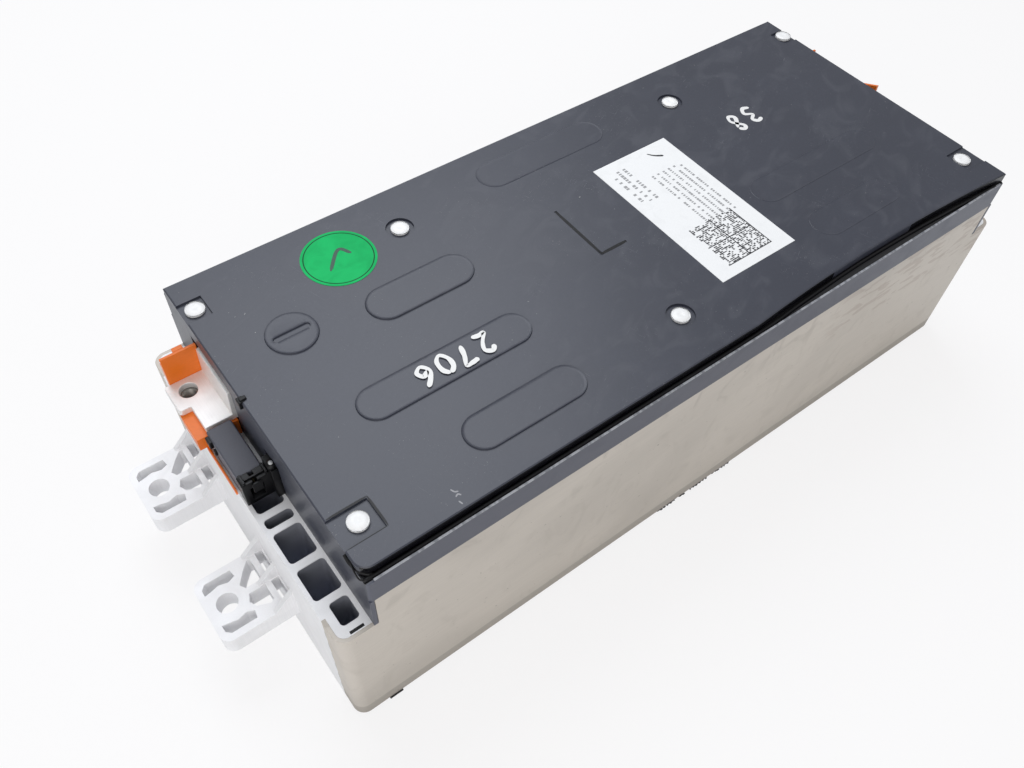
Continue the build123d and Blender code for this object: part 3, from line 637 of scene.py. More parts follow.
def solid(name: str, shape: bmesh.types.BMesh) -> bpy.types.Object:
    """Turn a finished shape into an object and free it."""
    mesh = bpy.data.meshes.new(name)
    shape.to_mesh(mesh)
    shape.free()
    return place(name, mesh)


def offset(corner: Sequence[float], points: Sequence[Point]) -> list[Vector]:
    """Points given in millimetres from a corner.

    Args:
        corner: The corner, in metres.
        points: Distances from it along the three axes.

    Returns:
        The points in metres.
    """
    return [Vector(corner) + Vector(point) * MM for point in points]


def bake(thing: bpy.types.Object) -> bpy.types.Object:
    """Turn an object's modifiers into plain mesh and remove them."""
    bpy.context.view_layer.update()
    graph = bpy.context.evaluated_depsgraph_get()
    mesh = bpy.data.meshes.new_from_object(thing.evaluated_get(graph))
    thing.modifiers.clear()
    thing.data = mesh
    return thing


def bevelled(thing: bpy.types.Object, width: float) -> bpy.types.Object:
    """Round the sharp edges of an object.

    Args:
        thing: The object.
        width: Width of the rounding, in metres.

    Returns:
        The same object with plain mesh.
    """
    thing.data.shade_smooth()
    modifier = thing.modifiers.new("rounding", "BEVEL")
    modifier.width = width
    modifier.segments = BEVEL_FACES
    modifier.limit_method = "ANGLE"
    modifier.angle_limit = SHARP_ANGLE
    modifier.use_clamp_overlap = True
    flatten = thing.modifiers.new("flat_faces", "WEIGHTED_NORMAL")
    flatten.mode = "FACE_AREA"
    flatten.weight = 100
    return bake(thing)


def refined(node: str, width: float,
            shaped: Callable[[bmesh.types.BMesh], None] | None = None) -> bpy.types.Object:
    """A copy of a CAD node as one welded mesh with rounded edges.

    Args:
        node: The CAD node.
        width: Width of the rounding, in metres.
        shaped: What else is done to the mesh before its edges are rounded.

    Returns:
        The new object, not yet dressed.
    """
    shape = bmesh.new()
    shape.from_mesh(frame["nodes"][node].data)
    bmesh.ops.remove_doubles(shape, verts=shape.verts, dist=WELD_DISTANCE)
    bmesh.ops.dissolve_limit(shape, angle_limit=FLAT_ANGLE, verts=shape.verts, edges=shape.edges)
    if shaped:
        shaped(shape)
    return bevelled(solid(node + "_body", shape), width)


def blocks(name: str, boxes: Sequence[tuple[Point, Point]], rounding: float) -> bpy.types.Object:
    """Several rounded boxes as one object.

    Args:
        name: The object's name.
        boxes: Lowest and highest corner of each box.
        rounding: Width of the rounded edges.

    Returns:
        The new object.
    """
    shape = bmesh.new()
    for low, high in boxes:
        middle = [(a + b) / 2 for a, b in zip(low, high)]
        size = [abs(b - a) for a, b in zip(low, high)]
        seat = Matrix.Translation(middle) @ Matrix.Diagonal((*size, 1.0))
        bmesh.ops.create_cube(shape, size=1.0, matrix=seat)
    return bevelled(solid(name, shape), rounding)


def through(points: Sequence[Sequence[float]], steps: int) -> list[Vector]:
    """A smooth line through points.

    Args:
        points: The points it passes.
        steps: Pieces between two points.

    Returns:
        The points of the line.
    """
    ends = [Vector(p) for p in points]
    ends = [2 * ends[0] - ends[1], *ends, 2 * ends[-1] - ends[-2]]
    line = []
    for a, b, c, d in zip(ends, ends[1:], ends[2:], ends[3:]):
        for step in range(steps):
            t = step / steps
            line.append(0.5 * ((2 * b) + (c - a) * t + (2 * a - 5 * b + 4 * c - d) * t * t
                               + (3 * b - a - 3 * c + d) * t ** 3))
    line.append(ends[-2])
    return line


def ribbons(name: str, lines: Sequence[Sequence[Vector]], half_width: Callable[[float], float],
            top: float, thickness: float) -> bpy.types.Object:
    """Flat strokes of varying width with round ends, lying on a level face.

    Args:
        name: The object's name.
        lines: Middle line of each stroke, in plan.
        half_width: Half the width at a fraction of the stroke's length.
        top: Height of the upper face.
        thickness: Thickness of the coat.

    Returns:
        The new object.
    """
    shape = bmesh.new()
    for line in lines:
        left, right = [], []
        last = len(line) - 1
        for index, point in enumerate(line):
            ahead = (line[min(index + 1, last)] - line[max(index - 1, 0)]).normalized()
            aside = Vector((-ahead.y, ahead.x))
            tip = min(0.5, (min(index, last - index) + 0.35) / 4)
            reach = half_width(index / last) * min(1.0, math.sin(math.pi * tip))
            left.append(Vector((*(point.xy + aside * reach), top)))
            right.append(Vector((*(point.xy - aside * reach), top)))
        rings = []
        for low in (0.0, thickness):
            drop = Vector((0, 0, low))
            rings.append([shape.verts.new(p - drop) for p in left + right[::-1]])
        count = len(rings[0])
        for index in range(last):
            for ring, turned in ((rings[0], False), (rings[1], True)):
                quad = [ring[k] for k in (index, count - 1 - index, count - 2 - index, index + 1)]
                shape.faces.new(quad[::-1] if turned else quad)
        for index in range(count):
            after = (index + 1) % count
            shape.faces.new((rings[0][index], rings[0][after], rings[1][after], rings[1][index]))
    bmesh.ops.recalc_face_normals(shape, faces=shape.faces)
    return solid(name, shape)


def tube(name: str, line: Sequence[Vector], radius: float, sides: int = 10) -> bpy.types.Object:
    """A closed tube along a line.

    Args:
        name: The object's name.
        line: Its middle line, nowhere exactly upright.
        radius: Its radius, in metres.
        sides: Faces round it.

    Returns:
        The new object.
    """
    shape = bmesh.new()
    rings = []
    last = len(line) - 1
    for index, point in enumerate(line):
        ahead = (line[min(index + 1, last)] - line[max(index - 1, 0)]).normalized()
        across = ahead.cross(Vector((0, 0, 1))).normalized()
        upward = across.cross(ahead)
        turns = [2 * math.pi * side / sides for side in range(sides)]
        rings.append([shape.verts.new(point + (across * math.cos(a) + upward * math.sin(a)) * radius)
                      for a in turns])
    for before, after in zip(rings, rings[1:]):
        for side in range(sides):
            follow = (side + 1) % sides
            shape.faces.new((before[side], before[follow], after[follow], after[side]))
    shape.faces.new(rings[0][::-1])
    shape.faces.new(rings[-1])
    bmesh.ops.recalc_face_normals(shape, faces=shape.faces)
    thing = solid(name, shape)
    thing.data.shade_smooth()
    return thing


# ------------------------------------------------------------------ geometry nodes
class Pattern(NodeGraph):
    """A Geometry Nodes tree with named inputs that ends in plain dressed mesh."""

    def __init__(self, name: str, inputs: dict[str, float]) -> None:
        """Start a tree.

        Args:
            name: Its name.
            inputs: Its named number inputs and their values.
        """
        super().__init__(bpy.data.node_groups.new(name, "GeometryNodeTree"))
        self.values = inputs
        face = self.tree.interface
        face.new_socket("Seats", in_out="INPUT", socket_type="NodeSocketGeometry")
        self.keys = {}
        for key, value in inputs.items():
            kind = "NodeSocketInt" if isinstance(value, int) else "NodeSocketFloat"
            self.keys[key] = face.new_socket(key, in_out="INPUT", socket_type=kind).identifier
        face.new_socket("Pieces", in_out="OUTPUT", socket_type="NodeSocketGeometry")
        self.given = self.add("NodeGroupInput")
        self.result = self.add("NodeGroupOutput")

    def size(self, key: str) -> Wire:
        """The wire of one named input."""
        return self.wire(self.given, key)

    def seated(self, piece: bpy.types.Node, **inputs: object) -> bpy.types.NodeSocket:
        """Put a copy of a node's geometry on every seat.

        Args:
            piece: The node that makes the geometry.
            inputs: Further inputs of the instancing node.

        Returns:
            The instances.
        """
        given = {"Points": self.given.outputs[0], "Instance": piece.outputs[0], **inputs}
        return self.add("GeometryNodeInstanceOnPoints", None, given).outputs[0]

    def close(self, geometry: bpy.types.NodeSocket, material: bpy.types.Material) -> None:
        """Realize the instances, set their material and end the tree."""
        real = self.add("GeometryNodeRealizeInstances", None, {0: geometry})
        dressed = self.add("GeometryNodeSetMaterial", None,
                           {"Geometry": real.outputs[0], "Material": material})
        self.feed(self.result.inputs[0], dressed.outputs[0])

    def grow(self, name: str, seats: Sequence[Point]) -> bpy.types.Object:
        """Run the tree on points and return a plain mesh object.

        Args:
            name: The new object's name.
            seats: The points that the tree builds on.

        Returns:
            The new object.
        """
        mesh = bpy.data.meshes.new(name)
        mesh.from_pydata([tuple(seat) for seat in seats], [], [])
        thing = place(name, mesh)
        modifier = thing.modifiers.new("pattern", "NODES")
        modifier.node_group = self.tree
        for key, identifier in self.keys.items():
            modifier[identifier] = self.values[key]
        return bake(thing)


@dataclass
class RivetHeads:
    """Push rivets with shallow domed heads, one on each seat."""

    radius: float = 3.75 * MM
    height: float = 1.45 * MM
    crown: float = 0.55 * MM
    seed: int = 4

    def pattern(self, material: bpy.types.Material) -> Pattern:
        """The tree of one domed disc on every point."""
        p = Pattern("rivet_heads", {"Radius": self.radius, "Height": self.height,
                                    "Crown": self.crown, "Seed": self.seed})
        disc = p.add("GeometryNodeMeshCylinder", {"fill_type": "NGON"}, {
            "Vertices": 40, "Side Segments": 4, "Fill Segments": 7,
            "Radius": p.size("Radius"), "Depth": p.size("Height"),
        })
        spot = p.add("ShaderNodeSeparateXYZ", None, {0: p.add("GeometryNodeInputPosition").outputs[0]})
        x, y, z = (p.wire(spot, index) for index in range(3))
        reach = (x * x + y * y) ** 0.5 / p.size("Radius")
        lifted = z.above(p.size("Height") * 0.49)
        sink = (reach ** 6.0) * p.size("Crown") * 1.3 + (reach ** 2.0) * p.size("Crown") * 0.35
        dimple = (1.0 - reach * 3.2).most(0.0) * p.size("Crown") * 0.8
        drop = (sink + dimple) * lifted * -1.0
        shift = p.add("ShaderNodeCombineXYZ", None, {2: drop})
        domed = p.add("GeometryNodeSetPosition", None,
                      {"Geometry": disc.outputs[0], "Offset": shift.outputs[0]})
        smooth = p.add("GeometryNodeSetShadeSmooth", None, {"Geometry": domed.outputs[0]})
        turn = p.add("FunctionNodeRandomValue", {"data_type": "FLOAT_VECTOR"}, {
            "Min": (-0.02, -0.02, 0.0), "Max": (0.02, 0.02, 6.28), "Seed": p.size("Seed")})
        p.close(p.seated(smooth, Rotation=turn.outputs[0]), material)
        return p


@dataclass
class PrintedRows:
    """Rows of small printed dashes of random length, some left out."""

    row_gap: float
    pitch: float
    rows: int
    columns: int
    tall: float
    kept: float = 0.8
    seed: int = 7
    ink: float = 0.03 * MM

    def pattern(self, material: bpy.types.Material) -> Pattern:
        """The tree of a grid of dashes round every point."""
        p = Pattern("printed_rows", {"Row gap": self.row_gap, "Pitch": self.pitch, "Rows": self.rows,
                                     "Columns": self.columns, "Tall": self.tall, "Kept": self.kept,
                                     "Ink": self.ink, "Seed": self.seed})
        grid = p.add("GeometryNodeMeshGrid", None, {
            "Size X": p.size("Row gap") * (p.size("Rows") - 1.0),
            "Size Y": p.size("Pitch") * (p.size("Columns") - 1.0),
            "Vertices X": p.size("Rows"), "Vertices Y": p.size("Columns")})
        keep = p.add("FunctionNodeRandomValue", {"data_type": "BOOLEAN"},
                     {"Probability": p.size("Kept"), "Seed": p.size("Seed")})
        long = p.add("FunctionNodeRandomValue", {"data_type": "FLOAT"},
                     {"Min": 0.35, "Max": 0.95, "Seed": p.size("Seed") + 1.0})
        dash = p.add("GeometryNodeMeshCube", None, {"Size": (1.0, 1.0, 1.0)})
        size = p.add("ShaderNodeCombineXYZ", None, {
            0: p.size("Tall"), 1: p.wire(long, 1) * p.size("Pitch"), 2: p.size("Ink")})
        dashes = p.add("GeometryNodeInstanceOnPoints", None, {
            "Points": grid.outputs["Mesh"], "Selection": p.wire(keep, 3), "Instance": dash.outputs["Mesh"],
            "Scale": size.outputs[0]})
        p.close(p.seated(dashes), material)
        return p


# ------------------------------------------------------------------ sub-assemblies
@dataclass
class Assembly:
    """Pieces of the module that are dressed from one wardrobe."""

    wardrobe: Wardrobe

    def refine(self, slot: Slot, rounding: float, *nodes: str) -> None:
        """Put copies with rounded edges in the place of CAD nodes.

        Args:
            slot: The record's slot of the nodes.
            rounding: Width of the rounded edges.
            nodes: The nodes, in order.
        """
        for node in nodes:
            self.wardrobe.dress_piece(refined(node, rounding), slot, replaced=(node,))


@dataclass
class Cover(Assembly):
    """Black cover with its rivets, the seal in its groove, and what is stuck or drawn on it."""

    rounding: float = 0.3 * MM
    rim_width: float = 1.15 * MM
    rim_drop: float = 0.52 * MM
    seal_radius: float = 0.72 * MM
    tail_radius: float = 0.28 * MM
    faint_from: float = -40 * MM
    faint_share: float = 0.3
    pen_half_width: float = 0.84 * MM
    ink: float = 0.04 * MM

    def __post_init__(self) -> None:
        """Read the cover's own box from the frame."""
        self.low, self.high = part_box("cover")
        self.rivet_low, self.rivet_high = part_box("cover_rivets")
        self.label_low, self.label_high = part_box("data_label")

    def soften_panels(self, shape: bmesh.types.BMesh) -> None:
        """Give every raised panel a soft sloping rim in place of its steep edge."""
        level = self.high.z - 0.05 * MM
        tops = [face for face in shape.faces
                if face.normal.z > 0.99 and face.calc_center_median().z > level]
        rims = {vertex for face in tops for vertex in face.verts}
        bmesh.ops.inset_region(shape, faces=tops, thickness=self.rim_width, use_even_offset=True)
        for vertex in rims:
            vertex.co.z -= self.rim_drop
        for vertex in shape.verts:
            if vertex.co.x > self.faint_from and vertex.co.z > PLAIN_TOP + 0.01 * MM:
                vertex.co.z = PLAIN_TOP + (vertex.co.z - PLAIN_TOP) * self.faint_share

    def shell(self) -> None:
        """The moulded cover itself."""
        piece = refined("cover", self.rounding, shaped=self.soften_panels)
        self.wardrobe.dress_piece(piece, Slot.COVER, replaced=("cover",))

    def shadow_lines(self) -> None:
        """Dark lines along the walls of the near corner pocket and of the small step."""
        shadow = MouldedPlastic("pocket_shadow", BLACK, 0.4, dust=0.02, gloss=0.3)
        inner, outer = self.low.x + 15.6 * MM, self.low.x + 0.6 * MM
        low, high = self.low.y + 11.7 * MM, self.low.y + 24.6 * MM
        corner = [(outer, high), (inner, high), (inner, low)]
        step = [(-15.85 * MM, 20.9 * MM), (-15.85 * MM, -8.9 * MM), (-2.9 * MM, -8.9 * MM)]
        outlines = {
            "pocket_lines": (corner, 0.42 * MM),
            "pocket_foot_line": ([(outer, low), (inner, low)], 0.15 * MM),
            "step_lines": (step, 0.72 * MM),
        }
        for name, (points, reach) in outlines.items():
            lines = [[Vector(a).lerp(Vector(b), t / 8) for t in range(9)]
                     for a, b in zip(points, points[1:])]
            piece = ribbons(name, lines, lambda t, half=reach: half, PLAIN_TOP + self.ink, self.ink)
            self.wardrobe.dress_piece(piece, Slot.COVER, shadow)

    def scratch_marks(self) -> None:
        """A few pale scratches behind the near corner rivet."""
        pale = MouldedPlastic("scratched_plastic", (0.34, 0.34, 0.36), 0.5, dust=0.1)
        strokes = [
            [(-125.4, -62.9), (-124.7, -64.4), (-123.6, -64.9)],
            [(-125.5, -66.2), (-124.4, -65.7), (-123.6, -66.6)],
            [(-125.6, -67.9), (-125.1, -69.6)],
        ]
        lines = [through([Vector(point) * MM for point in stroke], 6) for stroke in strokes]
        coat = self.ink / 2
        piece = ribbons("scratch_marks", lines, lambda t: 0.26 * MM, PLAIN_TOP + coat, coat)
        self.wardrobe.dress_piece(piece, Slot.COVER, pale)

    def rivet_seats(self) -> list[Point]:
        """Middle of each rivet head, found from the separate rivets of the CAD node."""
        shape = bmesh.new()
        shape.from_mesh(frame["nodes"]["cover_rivets"].data)
        bmesh.ops.remove_doubles(shape, verts=shape.verts, dist=WELD_DISTANCE)
        seats, left = [], set(shape.verts)
        while left:
            island, front = set(), [left.pop()]
            while front:
                vertex = front.pop()
                island.add(vertex)
                near = {edge.other_vert(vertex) for edge in vertex.link_edges} & left
                left -= near
                front.extend(near)
            xs, ys = [v.co.x for v in island], [v.co.y for v in island]
            seats.append(((min(xs) + max(xs)) / 2, (min(ys) + max(ys)) / 2))
        shape.free()
        return sorted(seats)

    def rivets(self) -> None:
        """Domed white rivet heads."""
        heads = RivetHeads()
        material = self.wardrobe.cloth(FINISHES[Slot.RIVET])
        level = self.rivet_high.z - heads.height / 2 + 0.25 * MM
        seats = [(x, y, level) for x, y in self.rivet_seats()]
        piece = heads.pattern(material).grow("rivet_heads", seats)
        self.wardrobe.dress_piece(piece, Slot.RIVET, replaced=("cover_rivets",))

    def seal(self) -> None:
        """Black seal on the ledge along the left edge, its end curling round the near corner."""
        corner = Vector((self.low.x, self.low.y + 1.75 * MM, self.high.z - 4.75 * MM))
        curl = offset(corner, [(-0.3, 10.2, 2.2), (-0.2, 6.8, 0.9), (1.1, 3.2, 0.1),
                               (3.6, 0.7, 0.0), (9.0, 0.0, 0.0)])
        bow = [(-60, 0.0), (9, 0.0), (33, 1.1), (60, 2.2), (80, 2.4), (110, 1.7), (140, 0.1), (158, -0.9)]
        along = offset((0.0, corner.y, corner.z), [(x, shift, 0.0) for x, shift in bow])
        piece = tube("groove_seal", through(curl + along, 12), self.seal_radius)
        self.wardrobe.dress_piece(piece, Slot.CONNECTOR)
        lash = offset(corner, [(0.6, 8.8, 3.0), (-0.5, 5.0, 1.5), (-0.4, 1.4, -0.3), (1.8, -0.4, -0.2)])
        piece = tube("groove_seal_tail", through(lash, 10), self.tail_radius, 8)
        self.wardrobe.dress_piece(piece, Slot.CONNECTOR)

    def label_print(self) -> None:
        """Generic print of the label: grey rows, a square of dark cells and a pen mark."""
        top = self.label_high.z
        middle_x = (self.label_low.x + self.label_high.x) / 2
        grey = Printed("label_ink_grey", (0.36, 0.36, 0.37), 0.5)
        dark = Printed("label_ink_dark", (0.035, 0.035, 0.04), 0.45)
        x, y = middle_x, self.label_low.y + 17 * MM
        prints = {
            "label_rows": (PrintedRows(3.1 * MM, 1.25 * MM, 6, 28, 1.1 * MM, 0.78, 11), grey,
                           (middle_x + 6.5 * MM, self.label_high.y - 34 * MM, top)),
            "label_heading": (PrintedRows(3.4 * MM, 1.5 * MM, 3, 15, 1.5 * MM, 0.7, 3), grey,
                              (self.label_low.x + 8.5 * MM, self.label_high.y - 17 * MM, top)),
            "label_square": (PrintedRows(0.84 * MM, 0.84 * MM, 28, 28, 0.8 * MM, 0.56, 23), dark,
                             (x, y, top)),
        }
        for name, (rows, ink, seat) in prints.items():
            piece = rows.pattern(self.wardrobe.cloth(ink)).grow(name, [seat])
            self.wardrobe.dress_piece(piece, Slot.LABEL, ink)
        reach, line = 12.1 * MM, 0.45 * MM
        edges = [(-reach, -reach, reach, line - reach), (reach - line, -reach, reach, reach),
                 (-reach, -line, reach, 0.0), (-line, -reach, 0.0, reach)]
        bars = [((x + left, y + low, top), (x + right, y + high, top + self.ink))
                for left, low, right, high in edges]
        piece = blocks("label_square_frame", bars, 0.005 * MM)
        self.wardrobe.dress_piece(piece, Slot.LABEL, dark)
        start = Vector((self.label_high.x - 13.9 * MM, self.label_high.y - 4.2 * MM))
        mark = through([start + Vector(p) * MM for p in ((0.0, 0.0), (2.2, -2.7), (5.6, -4.9))], 8)
        piece = ribbons("label_pen_mark", [mark], lambda t: (0.25 + 0.35 * t) * MM,
                        top + self.ink, self.ink)
        self.wardrobe.dress_piece(piece, Slot.LABEL, dark)

    def sticker_print(self) -> None:
        """A plain tick on the round green sticker."""
        ink = Printed("sticker_ink", (0.0, 0.06, 0.03), 0.4)
        tick = [(-5.4, 0.4), (-1.8, -3.9), (6.2, 4.6)]
        line = through([STICKER_MIDDLE.xy + Vector(point) * -MM for point in tick], 8)
        top = STICKER_HIGH.z + self.ink
        piece = ribbons("sticker_tick", [line], lambda t: 0.75 * MM, top, self.ink)
        self.wardrobe.dress_piece(piece, Slot.STICKER, ink)

    def pen_numbers(self) -> None:
        """Two plain numbers in white paint marker, read from the far side."""
        paint = Printed("marker_paint", (0.88, 0.88, 0.87), 0.45, 0.25 * MM, 0.1)
        rows = {
            "marker_number_long": ((2, 7, 0, 6), (-78.0, -15.5), 8.6, 9.2, self.high.z),
            "marker_number_short": ((3, 8), (103.0, 26.0), 10.5, 10.5, PLAIN_TOP),
        }
        for name, (digits, start, step, size, level) in rows.items():
            strokes = self.numbers(digits, Vector(start) * MM, step * MM, size * MM)
            piece = ribbons(name, strokes, self.pen_width, level + self.ink, self.ink)
            self.wardrobe.dress_piece(piece, Slot.RIVET, paint)

    def pen_width(self, t: float) -> float:
        """Half the width of a pen stroke at a fraction of its length."""
        return self.pen_half_width * (1.0 + 0.16 * math.sin(9.0 * t) + 0.07 * math.sin(31.0 * t))

    @staticmethod
    def numbers(digits: Sequence[int], start: Vector, step: float, size: float) -> list[list[Vector]]:
        """Pen strokes of a row of handwritten digits, turned half round.

        Args:
            digits: The digits in reading order.
            start: Top left corner of the first one as read.
            step: Distance from one digit to the next.
            size: Height of a digit.

        Returns:
            The middle line of each stroke.
        """
        shapes = {
            0: [(0.32, 1.0), (0.08, 0.74), (0.05, 0.34), (0.27, 0.02),
                (0.53, 0.24), (0.55, 0.7), (0.36, 0.98)],
            2: [(0.04, 0.78), (0.24, 1.0), (0.5, 0.82), (0.38, 0.48),
                (0.04, 0.05), (0.3, 0.07), (0.6, 0.0)],
            3: [(0.06, 0.9), (0.34, 1.0), (0.5, 0.78), (0.24, 0.54),
                (0.54, 0.32), (0.36, 0.02), (0.04, 0.1)],
            6: [(0.5, 1.0), (0.2, 0.66), (0.05, 0.28), (0.27, 0.0),
                (0.53, 0.2), (0.38, 0.46), (0.1, 0.3)],
            7: [(0.0, 0.92), (0.3, 0.97), (0.6, 0.96), (0.4, 0.52), (0.26, 0.0)],
            8: [(0.46, 0.84), (0.26, 1.0), (0.1, 0.8), (0.44, 0.34),
                (0.3, 0.02), (0.08, 0.22), (0.46, 0.78)],
        }
        strokes = []
        for index, digit in enumerate(digits):
            corner = start + Vector((-index * step, 0.35 * MM * (-1) ** index))
            points = [corner + Vector((-x * size, -y * size)) for x, y in shapes[digit]]
            strokes.append(through(points, 7))
        return strokes

    def build(self) -> None:
        """Build everything on the cover."""
        self.shell()
        self.shadow_lines()
        self.scratch_marks()
        self.rivets()
        self.seal()
        self.wardrobe.dress_node("data_label", Slot.LABEL)
        self.wardrobe.dress_node("round_sticker", Slot.STICKER)
        self.label_print()
        self.sticker_print()
        self.pen_numbers()


@dataclass
class Casing(Assembly):
    """Side sheets, end plates and the small things at their edges."""

    sheet_rounding: float = 0.28 * MM
    plate_rounding: float = 0.35 * MM
    weld_heights: tuple[int, ...] = (12, 22, 32, 42, 52, 62)

    def welds(self) -> None:
        """Short laser-weld beads that hold the flanges of the sheets to the end plates."""
        bead = MouldedPlastic("weld_bead", (0.42, 0.41, 0.40), 0.35, dust=0.1)
        p = Pattern("weld_beads", {"Radius": 0.55 * MM, "Length": 7.0})
        ball = p.add("GeometryNodeMeshUVSphere", None,
                     {"Segments": 12, "Rings": 8, "Radius": p.size("Radius")})
        size = p.add("ShaderNodeCombineXYZ", None, {0: 0.35, 1: 1.1, 2: p.size("Length")})
        p.close(p.seated(ball, Scale=size.outputs[0]), self.wardrobe.cloth(bead))
        face, aside = abs(SHEET_LOW.x) - 0.12 * MM, abs(SHEET_LOW.y) - 11.7 * MM
        seats = [(end * face, side * aside, height * MM)
                 for end in (-1, 1) for side in (-1, 1) for height in self.weld_heights]
        self.wardrobe.dress_piece(p.grow("weld_beads", seats), Slot.END_PLATE, bead)

    def tabs(self) -> None:
        """Black tabs: one in the slot beside the corner chamber, one of the film under the foot."""
        near, left, _ = SHEET_LOW
        slot_tab = offset((near, left, PLATE_TOP), [(5.6, 1.9, -3.0), (11.0, 3.1, 0.05)])
        piece = blocks("corner_slot_tab", [slot_tab], 0.1 * MM)
        self.wardrobe.dress_piece(piece, Slot.CONNECTOR)
        film_tab = offset((near, left, 0.0), [(13.5, -0.5, 0.1), (19.5, 1.0, 0.9)])
        piece = blocks("film_edge_tab", [film_tab], 0.15 * MM)
        self.wardrobe.dress_piece(piece, Slot.FILM)

    def crumbs(self) -> None:
        """Black crumbs of dried sealant along the foot of the left sheet."""
        p = Pattern("sealant_crumbs", {"Radius": 0.65 * MM, "Seed": 5})
        lump = p.add("GeometryNodeMeshIcoSphere", None, {"Radius": p.size("Radius"), "Subdivisions": 2})
        least, most = (0.25, 0.3, 0.25), (1.6, 0.7, 0.8)
        girth = p.add("FunctionNodeRandomValue", {"data_type": "FLOAT_VECTOR"},
                      {"Min": least, "Max": most, "Seed": p.size("Seed")})
        p.close(p.seated(lump, Scale=girth.outputs[0]), self.wardrobe.cloth(FINISHES[Slot.FOAM]))
        steps = [(-21 + 0.55 * step + 0.4 * math.sin(step * 2.3)) * MM for step in range(88)]
        seats = [(x, SHEET_LOW.y + (0.15 + 0.25 * math.sin(x / MM * 3.1)) * MM,
                  (0.7 + 0.35 * math.sin(x / MM * 1.7)) * MM)
                 for x in steps if math.sin(x / MM * 0.9) + math.sin(x / MM * 0.37) > -0.5]
        self.wardrobe.dress_piece(p.grow("sealant_crumbs", seats), Slot.FOAM)

    def build(self) -> None:
        """Build the casing."""
        self.refine(Slot.SIDE_SHEET, self.sheet_rounding, "side_sheet_left", "side_sheet_right")
        self.refine(Slot.END_PLATE, self.plate_rounding, "end_plate_front", "end_plate_rear")
        self.crumbs()
        self.welds()
        self.tabs()
        self.wardrobe.dress_node("bottom_film", Slot.FILM)


@dataclass
class Terminals(Assembly):
    """Power terminals: bolting bars, orange housings and threaded inserts at both ends."""

    rounding: float = 0.3 * MM
    chamfer: float = 0.3 * MM
    pitch: float = 1.0 * MM
    thread_radius: float = 2.5 * MM
    thread_depth: float = 0.5 * MM
    around: int = 60
    per_turn: int = 10

    def insert(self, node: str) -> bpy.types.Object:
        """A hexagon insert with a real screw thread.

        Args:
            node: The CAD node that gives its place and size.

        Returns:
            The new object.
        """
        low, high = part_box(node)
        axis = (low + high) / 2
        flat = (high.x - low.x) / 2
        rows = int(round((high.z - low.z) / self.pitch)) * self.per_turn
        shape = bmesh.new()

        def ring(height: float, radius: Callable[[float], float]) -> list[bmesh.types.BMVert]:
            """One closed row of vertices at a height."""
            turns = [2 * math.pi * index / self.around for index in range(self.around)]
            return [shape.verts.new((axis.x + radius(a) * math.cos(a),
                                     axis.y + radius(a) * math.sin(a), height)) for a in turns]

        def hexagon(angle: float) -> float:
            """Distance from the axis to the hexagon's side at an angle."""
            sector = (angle + math.pi / 6) % (math.pi / 3) - math.pi / 6
            return flat / math.cos(sector)

        def thread(height: float) -> Callable[[float], float]:
            """Radius of the thread at a height, as a function of the angle."""
            def radius(angle: float) -> float:
                """Radius at one angle."""
                phase = ((height - low.z) / self.pitch - angle / (2 * math.pi)) % 1.0
                return self.thread_radius + self.thread_depth * (1.0 - abs(2.0 * phase - 1.0))
            return radius

        mouth = self.thread_radius + self.thread_depth * 1.25
        rings = [ring(low.z, hexagon), ring(high.z - self.chamfer, hexagon),
                 ring(high.z, lambda a: hexagon(a) - self.chamfer), ring(high.z, lambda a: mouth)]
        threaded = high.z - low.z - 0.2 * MM
        for index in range(rows):
            level = high.z - (index + 0.5) / rows * threaded
            rings.append(ring(level, thread(level)))
        rings.append(ring(low.z, lambda a: mouth))
        rings.append(rings[0])
        for before, after in zip(rings, rings[1:]):
            for index in range(self.around):
                follow = (index + 1) % self.around
                shape.faces.new((before[index], before[follow], after[follow], after[index]))
        bmesh.ops.recalc_face_normals(shape, faces=shape.faces)
        return solid(node + "_threaded", shape)

    def build(self) -> None:
        """Build both terminals."""
        self.refine(Slot.BUSBAR, self.rounding, "output_busbar_front", "output_busbar_rear")
        for end in ("front", "rear"):
            self.refine(Slot.ORANGE, self.rounding, f"terminal_housing_{end}")
            node = f"terminal_nut_{end}"
            self.wardrobe.dress_piece(self.insert(node), Slot.NUT, replaced=(node,))


